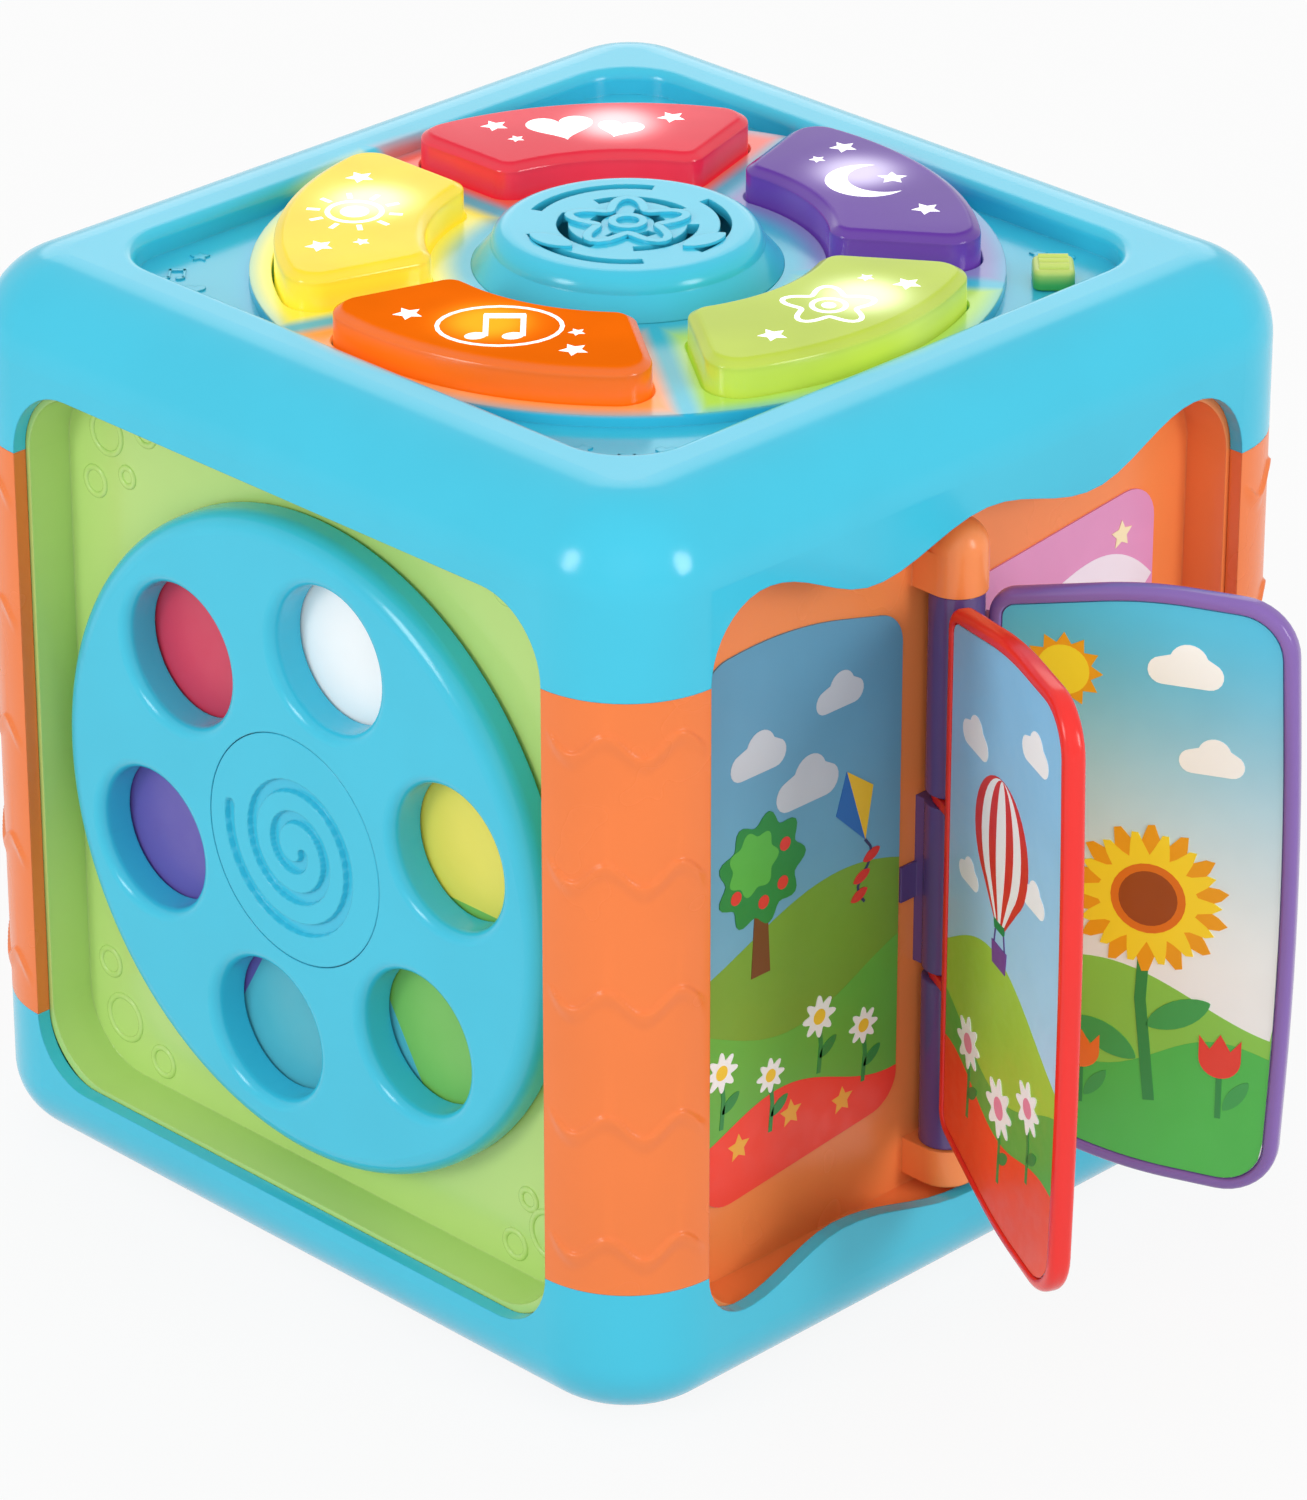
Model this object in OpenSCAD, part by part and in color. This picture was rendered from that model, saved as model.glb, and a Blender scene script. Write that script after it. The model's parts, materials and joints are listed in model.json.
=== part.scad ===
// Musical activity cube: a rounded cube on which every side has its own game.
// Front (-Y): spinning wheel. Right (+X): two-page book. Back (+Y): meshed gears.
// Left (-X): rollers. Top: five piano keys round a speaker. Origin: centre of the underside.

/* [Housing] */
// Width of the square housing
body_w = 200; // [196:1:212]
// Height of the rim above the table
body_h = 200; // [198:1:210]
// Radius of the four upright corners
corner_r = 23; // [21:0.5:25]
// Rounding of the top edge
top_edge_r = 18; // [12:0.5:19]
// Rounding of the bottom edge
bottom_edge_r = 14; // [8:0.5:16]
// Wall of the cap, the base and the posts
wall = 3.2; // [2.8:0.1:3.6]
// Height of the base's straight lips
base_lip_h = 17.2; // [16:0.2:20]
// Height of the base's corner tips
base_tip_h = 31.5; // [30:0.5:34]
// Drop from the rim to the cap's straight lips
cap_lip_drop = 22; // [21:0.5:25]
// Drop from the rim to the cap's corner tips
cap_tip_drop = 38.3; // [36:0.1:42]

/* [Wavy lips] */
// Spacing of the crests of the cap's wave
cap_wave_pitch = 62; // [58:1:66]
// Drop of the middle crest below the cap's lip
cap_crest_drop = 3.4; // [2:0.2:5]
// Drop of the troughs below the cap's lip
cap_trough_drop = 9.7; // [7:0.1:11]
// Spacing of the crests of the base's wave
base_wave_pitch = 76; // [70:1:80]
// Rise of the base wave's troughs above the base's lip
base_trough_rise = 2.8; // [2:0.2:4]
// Rise of the base wave's crests above the base's lip
base_crest_rise = 9.8; // [7:0.2:11]

/* [Side trays] */
// Depth of a tray's floor behind the housing's side
tray_depth = 14; // [13:0.2:16]
// Side wall of a tray
tray_wall = 2; // [1.6:0.1:2.4]
// Floor of a tray
tray_floor = 2.5; // [2:0.1:3]
// Corner radius of a tray's hollow
tray_corner_r = 16; // [12:0.5:18]
// Step from the opening's edge in to the tray's hollow
tray_step = 1; // [0.6:0.1:1.4]

/* [Top deck] */
// Width of the sunk square deck
deck_w = 150; // [146:1:154]
// Corner radius of the deck
deck_r = 14; // [10:0.5:18]
// Depth of the deck below the rim
deck_d = 5.5; // [4.5:0.1:6.5]
// Plate of the deck
deck_t = 3.2; // [2.8:0.1:3.6]
// Rounding of the rim's inner edge
deck_edge_r = 2.4; // [1:0.2:3]
// Radius of the round plateau under the keys
plateau_r = 77; // [76:0.5:80]
// Rise of the plateau above the deck
plateau_h = 2.5; // [1.5:0.1:3]

/* [Piano keys] */
// Inner radius of the ring of keys
key_inner_r = 41; // [40:0.5:43]
// Outer radius of the ring of keys
key_outer_r = 72; // [69:0.5:73]
// Gap between neighbouring keys
key_gap = 10; // [9:0.2:12]
// Radius of a key's outer corners
key_outer_round = 7; // [5:0.5:8]
// Radius of a key's inner corners
key_inner_round = 5; // [3:0.5:6]
// Height of a key above the plateau
key_rise = 7.5; // [6:0.1:9]
// Height of a key's stepped crown
key_crown_h = 3; // [2:0.1:4]
// Step from a key's side in to its crown
key_crown_in = 1.6; // [1:0.1:2.2]
// Wall of a key's hollow shell
key_wall = 1.8; // [1.4:0.1:2]
// Travel of a key
key_travel = 2; // [1.5:0.1:2.4]

/* [Speaker] */
// Radius of the grille's foot
grille_r = 32; // [31:0.5:34]
// Radius of the grille's flat top
grille_top_r = 24; // [20:0.5:26]
// Rise of the grille above the plateau
grille_rise = 8.5; // [6:0.1:9.5]
// Wall of the grille
grille_t = 2.2; // [1.8:0.1:2.6]
// Width of the grille's curved slots
grille_slot = 2.4; // [1.8:0.1:3]
// Radius of the speaker's rim
speaker_r = 35; // [34.6:0.2:36]
// Depth of the speaker's basket
speaker_d = 14; // [12:0.5:16]
// Radius of the speaker's magnet
magnet_r = 15.5; // [13:0.5:16]
// Height of the speaker's magnet
magnet_h = 9; // [7:0.5:11]

/* [Slide switch] */
// Distance of the switch from the middle of the deck, along the diagonal
switch_out = 86.4; // [85:0.2:87]
// Travel of the knob
switch_travel = 9; // [7:0.5:10]
// Length of the knob
knob_l = 10; // [8:0.5:10.5]
// Width of the knob
knob_w = 8.5; // [8:0.5:11]
// Height of the knob
knob_h = 5; // [4:0.2:6]

/* [Play wheel] */
// Gap between the wheel and its tray's sides
wheel_gap = 5; // [3:0.5:10]
// Drop of the wheel, gears and rollers below the middle of their trays
play_drop = 0.6; // [0:0.1:2]
// Thickness of the wheel
wheel_t = 8; // [7:0.2:8.6]
// Rounding of the wheel's front edge
wheel_edge_r = 4.5; // [3:0.1:5]
// Radius of a finger hole
finger_r = 15.5; // [13:0.5:16]
// Rounding of a finger hole's mouth
finger_edge_r = 2.5; // [1:0.1:3]
// Distance of the finger holes' centres from the wheel's rim
finger_in = 24.5; // [23:0.5:26]
// Angle of the first finger hole
finger_turn = 17.5; // [0:0.5:60]
// Radius of the hub cap
hub_r = 25; // [22:0.5:26]
// Radius of the wheel's axle
axle_r = 4; // [3.5:0.1:4.5]
// Turns of the hub's spiral groove
spiral_turns = 2.5; // [2:0.25:3]

/* [Book] */
// Depth of the hinge behind the housing's side
hinge_inset = 7.5; // [7:0.1:7.7]
// Radius of the hinge barrel
barrel_r = 5.75; // [5:0.05:5.9]
// Rise of the hinge barrel's lower end above the base's lip
barrel_rise = 12.3; // [11.8:0.1:14.8]
// Drop of the hinge barrel's upper end below the cap's lip
barrel_drop = 23; // [21:0.5:25]
// Spacing of the barrel's two seams
seam_pitch = 40; // [36:0.5:44]
// Drop of the seams' middle below the barrel's middle
seam_drop = 3.25; // [0:0.25:5]
// Radius of the hinge pin
pin_r = 1.5; // [1.2:0.1:1.8]
// Gap between a closed page and the tray's side
page_gap = 7; // [5:0.5:12]
// Thickness of a page
page_t = 4.6; // [4.5:0.1:5.5]
// Width of a page's rim
page_rim = 2.8; // [2.4:0.2:6]
// Rise of a page's spine edge above the base's lip
spine_rise = 19.8; // [18.8:0.1:28.8]
// Drop of a page's spine edge below the cap's lip
spine_drop = 23.5; // [23.5:0.5:32]
// Rise of a page's outer edge above the base's lip
outer_rise = 9.8; // [9.8:0.1:12.8]
// Drop of a page's outer edge below the cap's lip
outer_drop = 18; // [16:0.5:21]
// Swell of a page's outer edge
outer_swell = 3; // [0:0.5:4]
// Radius of a page's outer corners
page_corner_r = 12; // [8:0.5:15]
// Angle of each page from the middle, as shown
page_open = 26; // [10:1:60]
// Thickness of the printed sheets and labels
sheet_t = 0.4; // [0.3:0.05:0.5]

/* [Gears] */
// Teeth of each gear
gear_teeth = 14; // [12:1:16]
// Gap between the outer gears and their tray's sides
gear_gap = 2.8; // [2:0.2:6]
// Rise of the line from an outer gear to the middle one
gear_lean = 37; // [33:1:40]
// Thickness of the gears
gear_t = 7; // [6:0.2:7.4]

/* [Rollers] */
// Radius of a roller
roller_r = 13; // [11:0.2:13.4]
// Length of a roller
roller_l = 39; // [36:0.5:40]
// Radius of the rod
rod_r = 3; // [2.5:0.1:3.5]

/* [Electronics and battery] */
// Edge of the circuit board beyond its screws
board_edge = 5; // [4.5:0.5:6]
// Thickness of the circuit board
board_t = 1.6; // [1.2:0.1:2]
// Height of a key's rubber dome
dome_h = 2.9; // [2.7:0.1:3.2]
// Radius of a battery cell
cell_r = 7.25; // [7:0.05:7.5]
// Length of a battery cell
cell_l = 50.5; // [49:0.5:51]
// Spacing of the battery cells
cell_pitch = 15.5; // [15.2:0.1:16]
// Thickness of the battery door
door_t = 2.2; // [1.8:0.1:2.4]

/* [Fasteners and fits] */
// Shank radius of the screws
screw_r = 1.5; // [1.3:0.1:1.6]
// Head radius of the screws
screw_head_r = 2.8; // [2.4:0.1:3]
// Running clearance round pins and axles
run_fit = 0.06; // [0.03:0.01:0.09]
// Clearance of still pieces that fit together
seat_fit = 0.2; // [0.1:0.05:0.3]
// Clearance between moving pieces
move_gap = 0.4; // [0.3:0.05:0.5]

/* [Hidden] */
$fn = 64;

FRONT = 0;
RIGHT = 1;
BACK = 2;
LEFT = 3;
KEY_COUNT = 5;
FINGER_COUNT = 6;
CELL_COUNT = 3;
ROLLER_COUNT = 3;
ARC_STEPS = 8;
WAVE_STEPS = 24;
SPIRAL_STEPS = 72;
CUT = 1;
BLUE = "#54c8e4";
ORANGE = "#f7874a";
GREEN = "#a9d46b";
PURPLE = "#6b5496";
STEEL = "#b9bdc2";
KEY_COLOURS = ["#d3e85a", "#6b35a5", "#f0475f", "#ffee55", "#ff7a14"];

// Levels and half-widths of the housing
half_w = body_w / 2;
inner_half = half_w - wall;
corner_c = half_w - corner_r;
cap_lip_z = body_h - cap_lip_drop;
cap_tip_z = body_h - cap_tip_drop;
deck_z = body_h - deck_d;
deck_under = deck_z - deck_t;
plateau_z = deck_z + plateau_h;

// Side trays: distances are measured outwards from the housing's middle
floor_out = half_w - tray_depth;
tray_back = floor_out - tray_floor;
tray_front = inner_half - seat_fit;
hollow_half = corner_c - tray_step;
hollow_low = base_lip_h + tray_step;
hollow_high = cap_lip_z - tray_step;
tray_half = hollow_half + tray_wall;
collar_r = 2 * axle_r;
collar_h = 0.8;
play_z = mix(hollow_low, hollow_high) - play_drop;

// Screw columns in the corners, clear of the trays
column_r = screw_head_r + 1.4;
column_c = tray_half + 0.3 + column_r;
spigot_l = 11.5;
plug_h = 8;
screw_head_h = 2.2;
screw_bite = 9;
base_seat_z = 8;
column_top = base_tip_h - spigot_l;
cap_spigot_l = 13;
cap_spigot_z = cap_tip_z + cap_spigot_l;

// Keys, board and domes
key_top = plateau_z + key_rise;
key_flange_t = 2.3;
key_flange_out = key_clear() + 1.2;
key_flange_top = deck_under - seat_fit;
key_flange_low = key_flange_top - key_flange_t;
key_mid_r = (key_inner_r + key_outer_r) / 2;
board_top = key_flange_low - key_travel - dome_h - 0.3;
board_low = board_top - board_t;
board_post_r = 3.5;
board_post_x = 40;
board_post_y = key_outer_r + key_flange_out - 6.7;
board_w = 2 * (board_post_y + board_edge);
board_hole_r = grille_r;
board_corner_r = 10;

// Slide switch, turned so that its own X axis runs along the slot
switch_turn = -45;
knob_shift = switch_travel / 2;
stem_l = 5;
stem_w = 3;
stem_low = board_top + 3.4;
switch_body_l = switch_travel + stem_l + 6;
switch_body_w = 8;
switch_body_top = deck_under - 1.8;

// Speaker, hung from the deck
speaker_rim_t = 1.2;
speaker_top = deck_under - 0.1;
speaker_low = speaker_top - speaker_d;
speaker_throat_r = 10;
grille_spigot_r = grille_r - 2;
speaker_screw_out = (grille_spigot_r + speaker_r) / 2 + 0.3;

// Wheel, measured outwards from the housing's middle
wheel_r = min(hollow_half, (hollow_high - hollow_low) / 2) - wheel_gap;
finger_out = wheel_r - finger_in;
wheel_back = floor_out + collar_h + seat_fit;
wheel_front = wheel_back + wheel_t;
hub_sunk = 1.6;
groove_d = 0.7;
hub_back = wheel_front - hub_sunk;
axle_head_r = axle_r + 3;
axle_head_t = 1.9;
axle_head_back = hub_back - seat_fit - axle_head_t;
label_hole_r = collar_r + 1.5;
label_r = wheel_r - 3;

// Book
hinge_x = half_w - hinge_inset;
barrel_low = base_lip_h + barrel_rise;
barrel_high = cap_lip_z - barrel_drop;
seam_low = mix(barrel_low, barrel_high) - seam_drop - seam_pitch / 2;
seam_high = seam_low + seam_pitch;
page_l = hollow_half - page_gap;
spine_low = base_lip_h + spine_rise;
spine_high = cap_lip_z - spine_drop;
outer_low = base_lip_h + outer_rise;
outer_high = cap_lip_z - outer_drop;
boss_r = barrel_r + 0.55;
ring_r = barrel_r - 1.35;
ring_t = 2;
plate_start = barrel_r + 0.45;
plate_shift = 0.1;
arm_end = plate_start + page_rim / 2;
pocket_d = 0.9;
print_gap = 0.25;
spine_round = 6;
edge_round = 90;
outer_round = 900;
page_bulge = 3.4;
page_mid_l = page_l * 0.55;
boss_low = base_lip_h + base_trough_rise + 1.3;
boss_high = cap_lip_z - cap_trough_drop - 4.3;
pin_bite = 7.5;
clip_foot_half = 8.5;
clip_foot_h = 8;
clip_foot_t = 0.6;
clip_web_half = 4;
label_in = 9;
label_gap = 10;
label_out = hollow_half - label_gap;
label_round = 8;
label_taper = 6;
label_rise = 22.8;
label_drop = 28;
label_low = base_lip_h + label_rise;
label_high = cap_lip_z - label_drop;
LABEL_CORNERS = [
    [label_in, label_low],
    [label_out, label_low - label_taper],
    [label_out, label_high + label_taper],
    [label_in, label_high]
];
PAGE_CORNERS = [
    [plate_start, spine_low],
    [page_mid_l, mix(spine_low, outer_low) - page_bulge],
    [page_l, outer_low],
    [page_l + outer_swell, mix(outer_low, outer_high)],
    [page_l, outer_high],
    [page_mid_l, mix(spine_high, outer_high) + page_bulge],
    [plate_start, spine_high]
];
PAGE_ROUNDS = [
    spine_round, edge_round, page_corner_r, outer_round, page_corner_r, edge_round, spine_round
];

// Gears: the outer gears' tips reach to the gap inside their tray
gear_pressure = 25;
gear_addendum = 0.8;
gear_dedendum = 1.05;
gear_reach = 2 * cos(gear_lean) + 1 + 2 * gear_addendum / gear_teeth;
gear_pitch_r = (hollow_half - gear_gap) / gear_reach;
gear_module = 2 * gear_pitch_r / gear_teeth;
gear_backlash = 0.5;
gear_dx = 2 * gear_pitch_r * cos(gear_lean);
gear_dz = 2 * gear_pitch_r * sin(gear_lean);
gear_first_phase = 90;
gear_back = floor_out + collar_h + seat_fit;
gear_front = gear_back + gear_t;
GEAR_PLACES = [
    [0, play_z + gear_dz / 2],
    [-gear_dx, play_z - gear_dz / 2],
    [gear_dx, play_z - gear_dz / 2]
];

// Rollers
roller_out = floor_out;
roller_gap = 0.6;
roller_round = 5;
trough_room = 1.6;
trough_half = (ROLLER_COUNT * roller_l + (ROLLER_COUNT + 1) * roller_gap) / 2;
trough_tall = roller_r + trough_room;
trough_back = roller_out - roller_r - trough_room;

// Battery compartment, set back so that the middle of the underside stays flat
cell_room = 3;
bay_start = 16;
bay_half = CELL_COUNT * cell_pitch / 2 + 0.75;
bay_end = bay_start + cell_l + 2 * cell_room;
door_sunk = 0.3;
door_step = 3;
door_tail = 7.5;
door_start = bay_start - door_step;
door_end = bay_end + door_step + door_tail;
door_half = bay_half + door_step;
door_top = door_sunk + door_t;
cell_z = door_top + 0.9 + cell_r;
bay_top = cell_z + cell_r + 0.7;
bay_wall = 2;
bay_floor_top = 6;
door_screw_y = bay_end + door_step + door_tail / 2;

function key_clear() = move_gap + 0.1;
function mix(a, b) = (a + b) / 2;
function unit(v) = v / norm(v);
function turned(v, a) = [v[0] * cos(a) - v[1] * sin(a), v[0] * sin(a) + v[1] * cos(a)];
function polar(r, a) = [r * cos(a), r * sin(a)];
// Half of the angle at corner p between its neighbours a and b
function half_angle(a, p, b) = acos(unit(a - p) * unit(b - p)) / 2;
// Point at the distance d from both edges that meet in corner p
function inner_point(a, p, b, d) = p + unit(unit(a - p) + unit(b - p)) * (d / sin(half_angle(a, p, b)));
// Points of a round corner of radius r
function corner_arc(a, p, b, r) = let(
    h = half_angle(a, p, b),
    c = inner_point(a, p, b, r),
    s = p + unit(a - p) * (r / tan(h)) - c,
    e = p + unit(b - p) * (r / tan(h)) - c,
    way = cross(s, e) > 0 ? 1 : -1
) [for (i = [0:ARC_STEPS]) c + turned(s, way * (180 - 2 * h) * i / ARC_STEPS)];
function before(list, i) = list[(i + len(list) - 1) % len(list)];
function after(list, i) = list[(i + 1) % len(list)];
function inset_corners(corners, d) = [
    for (i = [0:len(corners) - 1]) inner_point(before(corners, i), corners[i], after(corners, i), d)
];
function rounded(corners, rounds) = [
    for (i = [0:len(corners) - 1])
        each corner_arc(before(corners, i), corners[i], after(corners, i), rounds[i])
];

// Height of the cap's wavy lip at the distance y from the middle
cap_crest_y = cap_wave_pitch;
function cap_swing(y, high) = mix(high, cap_lip_z - cap_trough_drop)
    + (high - cap_lip_z + cap_trough_drop) / 2 * cos(360 * y / cap_wave_pitch);
function cap_end(y) = cap_tip_z
    + (cap_lip_z - cap_tip_z) * sqrt(max(0, 1 - pow((y - cap_crest_y) / (corner_c - cap_crest_y), 2)));
function cap_wave(y) = y < cap_wave_pitch / 2 ? cap_swing(y, cap_lip_z - cap_crest_drop)
    : y < cap_crest_y ? cap_swing(y, cap_lip_z)
    : cap_end(y);

// Height of the base's wavy lip at the distance y from the middle
base_trough_z = base_lip_h + base_trough_rise;
base_crest_z = base_lip_h + base_crest_rise;
base_crest_y = base_wave_pitch / 2;
base_trough_y = corner_c - 11;
function base_swing(y) = mix(base_trough_z, base_crest_z) - (base_crest_z - base_trough_z) / 2 * cos(y);
function base_end(y) = base_trough_z + (base_tip_h - base_trough_z)
    * (1 - sqrt(max(0, 1 - pow((y - base_trough_y) / (corner_c - base_trough_y), 2))));
function base_wave(y) = y < base_crest_y ? base_swing(180 * y / base_crest_y)
    : y < base_trough_y ? base_swing(180 + 180 * (y - base_crest_y) / (base_trough_y - base_crest_y))
    : base_end(y);

// Involute of a base circle of radius 1 at the roll angle t, as an angle and a radius
function involute_angle(t) = t - atan(t * PI / 180);
function roll_at(r, base) = r <= base ? 0 : sqrt(pow(r / base, 2) - 1) * 180 / PI;
// Half of a tooth's angle at the radius r
function tooth_half(r, base) = 90 / gear_teeth - gear_backlash / gear_pitch_r * 180 / PI / 4
    + involute_angle(roll_at(gear_pitch_r, base)) - involute_angle(roll_at(r, base));
// Turn of a gear that meshes with another along the line at the angle a
function mesh_phase(a, phase) = 2 * a - phase + 180 + 180 / gear_teeth;

// Moves what is drawn in X and Y onto a side, with its Z pointing outwards
module on_side(side) {
    rotate([90, 0, 90 * side]) children();
}

module rounded_rect(x0, y0, x1, y1, r) {
    translate([x0 + r, y0]) square([x1 - x0 - 2 * r, y1 - y0]);
    translate([x0, y0 + r]) square([x1 - x0, y1 - y0 - 2 * r]);
    for (x = [x0 + r, x1 - r], y = [y0 + r, y1 - r]) translate([x, y]) circle(r);
}

// What a rounding of radius r takes off a corner
module round_off(r) {
    difference() {
        square(r + CUT);
        circle(r);
    }
}

// Half section of a rounded block, r wide and from z0 to z1
module block_section(r, z0, z1, top_round, bottom_round) {
    difference() {
        translate([0, z0]) square([r, z1 - z0]);
        if (top_round > 0) translate([r - top_round, z1 - top_round]) round_off(top_round);
        if (bottom_round > 0)
            translate([r - bottom_round, z0 + bottom_round]) mirror([0, 1]) round_off(bottom_round);
    }
}

// Sweeps a half section round a square of width w with corner radius r
module square_sweep(w, r, z0, z1) {
    c = w / 2 - r;
    for (k = [0:3]) rotate(90 * k) translate([c, c, 0]) {
        rotate_extrude(angle = 90) children();
        rotate([90, 0, 0]) linear_extrude(2 * c) children();
    }
    translate([-c, -c, z0]) cube([2 * c, 2 * c, z1 - z0]);
}

// Hollow shell of the housing between the heights z0 and z1
module housing_shell(z0, z1, top_round, bottom_round, low, high) {
    difference() {
        square_sweep(body_w, corner_r, z0, z1) block_section(corner_r, z0, z1, top_round, bottom_round);
        square_sweep(body_w - 2 * wall, corner_r - wall, low, high)
            block_section(corner_r - wall, low, high, max(0, top_round - wall), max(0, bottom_round - wall));
        rotate([90, 0, 0]) linear_extrude(2 * body_w, center = true) straight_window();
        rotate([90, 0, 90]) linear_extrude(2 * body_w, center = true) wavy_window();
    }
}

module straight_window() {
    low_r = base_tip_h - base_lip_h;
    high_r = cap_lip_z - cap_tip_z;
    translate([-corner_c, base_tip_h]) square([2 * corner_c, cap_tip_z - base_tip_h]);
    translate([low_r - corner_c, base_lip_h]) square([2 * (corner_c - low_r), low_r + CUT]);
    translate([high_r - corner_c, cap_tip_z - CUT]) square([2 * (corner_c - high_r), high_r + CUT]);
    for (s = [-1, 1]) {
        translate([s * (corner_c - low_r), base_tip_h]) circle(low_r);
        translate([s * (corner_c - high_r), cap_tip_z]) circle(high_r);
    }
}

module wavy_window() {
    steps = [for (i = [-WAVE_STEPS:WAVE_STEPS]) sin(90 * i / WAVE_STEPS) * corner_c];
    count = len(steps);
    polygon(concat(
        [for (y = steps) [y, base_wave(abs(y))]],
        [for (i = [1:count]) [steps[count - i], cap_wave(abs(steps[count - i]))]]
    ));
}

// Outline of one key with its middle on the X axis, grown by g
module key_outline(g) {
    r_in = key_inner_r - g;
    r_out = key_outer_r + g;
    round_in = key_inner_round + g;
    round_out = key_outer_round + g;
    line = key_gap / 2 - g;
    sector = 180 / KEY_COUNT;
    turn_out = sector - asin((line + round_out) / (r_out - round_out));
    turn_in = sector - asin((line + round_in) / (r_in + round_in));
    aside = polar(1, sector + 90);
    c_out = polar(r_out - round_out, turn_out);
    c_in = polar(r_in + round_in, turn_in);
    side = [c_out, c_out + round_out * aside, c_in + round_in * aside, c_in, polar(r_in, turn_in)];
    difference() {
        union() {
            polygon(concat(side, [for (i = [1:len(side)]) flipped(side[len(side) - i])]));
            intersection() {
                circle(r_out);
                polygon([[0, 0], polar(2 * r_out, -turn_out), polar(2 * r_out, turn_out)]);
            }
            for (p = [c_out, flipped(c_out)]) translate(p) circle(round_out);
            for (p = [c_in, flipped(c_in)]) translate(p) circle(round_in);
        }
        circle(r_in);
    }
}
function flipped(p) = [p[0], -p[1]];

module at_key(k) {
    rotate(360 / KEY_COUNT * k) children();
}

module at_board_posts() {
    for (x = [-1, 1], y = [-1, 1]) translate([x * board_post_x, y * board_post_y, 0]) children();
}

module at_columns() {
    for (x = [-1, 1], y = [-1, 1]) translate([x * column_c, y * column_c, 0]) children();
}

module at_speaker_screws() {
    for (k = [0:2]) rotate(120 * k + 30) translate([speaker_screw_out, 0, 0]) children();
}

module at_switch() {
    translate(concat(polar(switch_out, 45), 0)) rotate(switch_turn) children();
}

// Screw with its head below z = 0 and its shank above
module screw(length) {
    cylinder(r = screw_r, h = length);
    translate([0, 0, -screw_head_h]) cylinder(r = screw_head_r, h = screw_head_h);
}

module screw_hole(length) {
    cylinder(r = screw_r + 0.05, h = length);
}

module top_cap() {
    color(BLUE) difference() {
        union() {
            housing_shell(cap_tip_z, body_h, top_edge_r, 0, cap_tip_z - CUT, body_h - wall);
            square_sweep(deck_w + 2 * wall, deck_r + wall, deck_under, body_h - wall / 2)
                block_section(deck_r + wall, deck_under, body_h - wall / 2, 0, 0);
            at_columns() translate([0, 0, cap_spigot_z]) cylinder(r = column_r, h = body_h - wall - cap_spigot_z);
            at_board_posts() translate([0, 0, board_top]) cylinder(r = board_post_r, h = deck_z - board_top - CUT);
        }
        deck_hollow();
        for (k = [0:KEY_COUNT - 1]) at_key(k)
            translate([0, 0, deck_under - CUT]) linear_extrude(body_h) key_outline(key_clear());
        translate([0, 0, deck_under - CUT]) cylinder(r = grille_spigot_r + seat_fit, h = body_h);
        at_switch() translate([-switch_travel / 2 - stem_l / 2 - move_gap, -stem_w / 2 - move_gap, deck_under - CUT])
            cube([switch_travel + stem_l + 2 * move_gap, stem_w + 2 * move_gap, body_h]);
        at_columns() translate([0, 0, cap_spigot_z - CUT]) screw_hole(screw_bite + 2 * CUT);
        at_board_posts() translate([0, 0, board_top - CUT]) screw_hole(deck_under - board_top + CUT);
        at_speaker_screws() translate([0, 0, deck_under - CUT]) screw_hole(deck_t + CUT);
    }
}

// Square hollow of the deck, with the round plateau left standing and a rounded upper edge
module deck_hollow() {
    difference() {
        square_sweep(deck_w, deck_r, deck_z, body_h + CUT) difference() {
            translate([0, deck_z]) square([deck_r + deck_edge_r, body_h + CUT - deck_z]);
            translate([deck_r, deck_z - CUT]) square([deck_edge_r + CUT, deck_d - deck_edge_r + CUT]);
            translate([deck_r + deck_edge_r, body_h - deck_edge_r]) circle(deck_edge_r);
        }
        cylinder(r = plateau_r, h = plateau_z);
    }
}

module base_tray() {
    color(BLUE) difference() {
        union() {
            housing_shell(0, base_tip_h, 0, bottom_edge_r, wall, base_tip_h + CUT);
            at_columns() translate([0, 0, wall / 2]) cylinder(r = column_r, h = column_top - wall / 2);
            translate([-door_half - bay_wall, door_start - bay_wall, wall / 2])
                cube([2 * (door_half + bay_wall), door_end - door_start + 2 * bay_wall, bay_floor_top - wall / 2]);
            translate([-bay_half - bay_wall, bay_start - bay_wall, wall / 2])
                cube([2 * (bay_half + bay_wall), bay_end - bay_start + 2 * bay_wall, bay_top + bay_wall - wall / 2]);
            translate([0, door_screw_y, wall / 2]) cylinder(r = column_r - 1, h = door_top + screw_bite + CUT);
        }
        at_columns() translate([0, 0, -CUT]) cylinder(r = screw_head_r + move_gap, h = base_seat_z + CUT);
        at_columns() cylinder(r = screw_r + seat_fit, h = column_top + CUT);
        translate([-door_half - seat_fit, door_start - seat_fit, -CUT])
            cube([2 * (door_half + seat_fit), door_end - door_start + 2 * seat_fit, door_top + CUT]);
        translate([-bay_half, bay_start, 0]) cube([2 * bay_half, bay_end - bay_start, bay_top]);
        translate([0, door_screw_y, 0]) screw_hole(door_top + screw_bite);
    }
}

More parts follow.
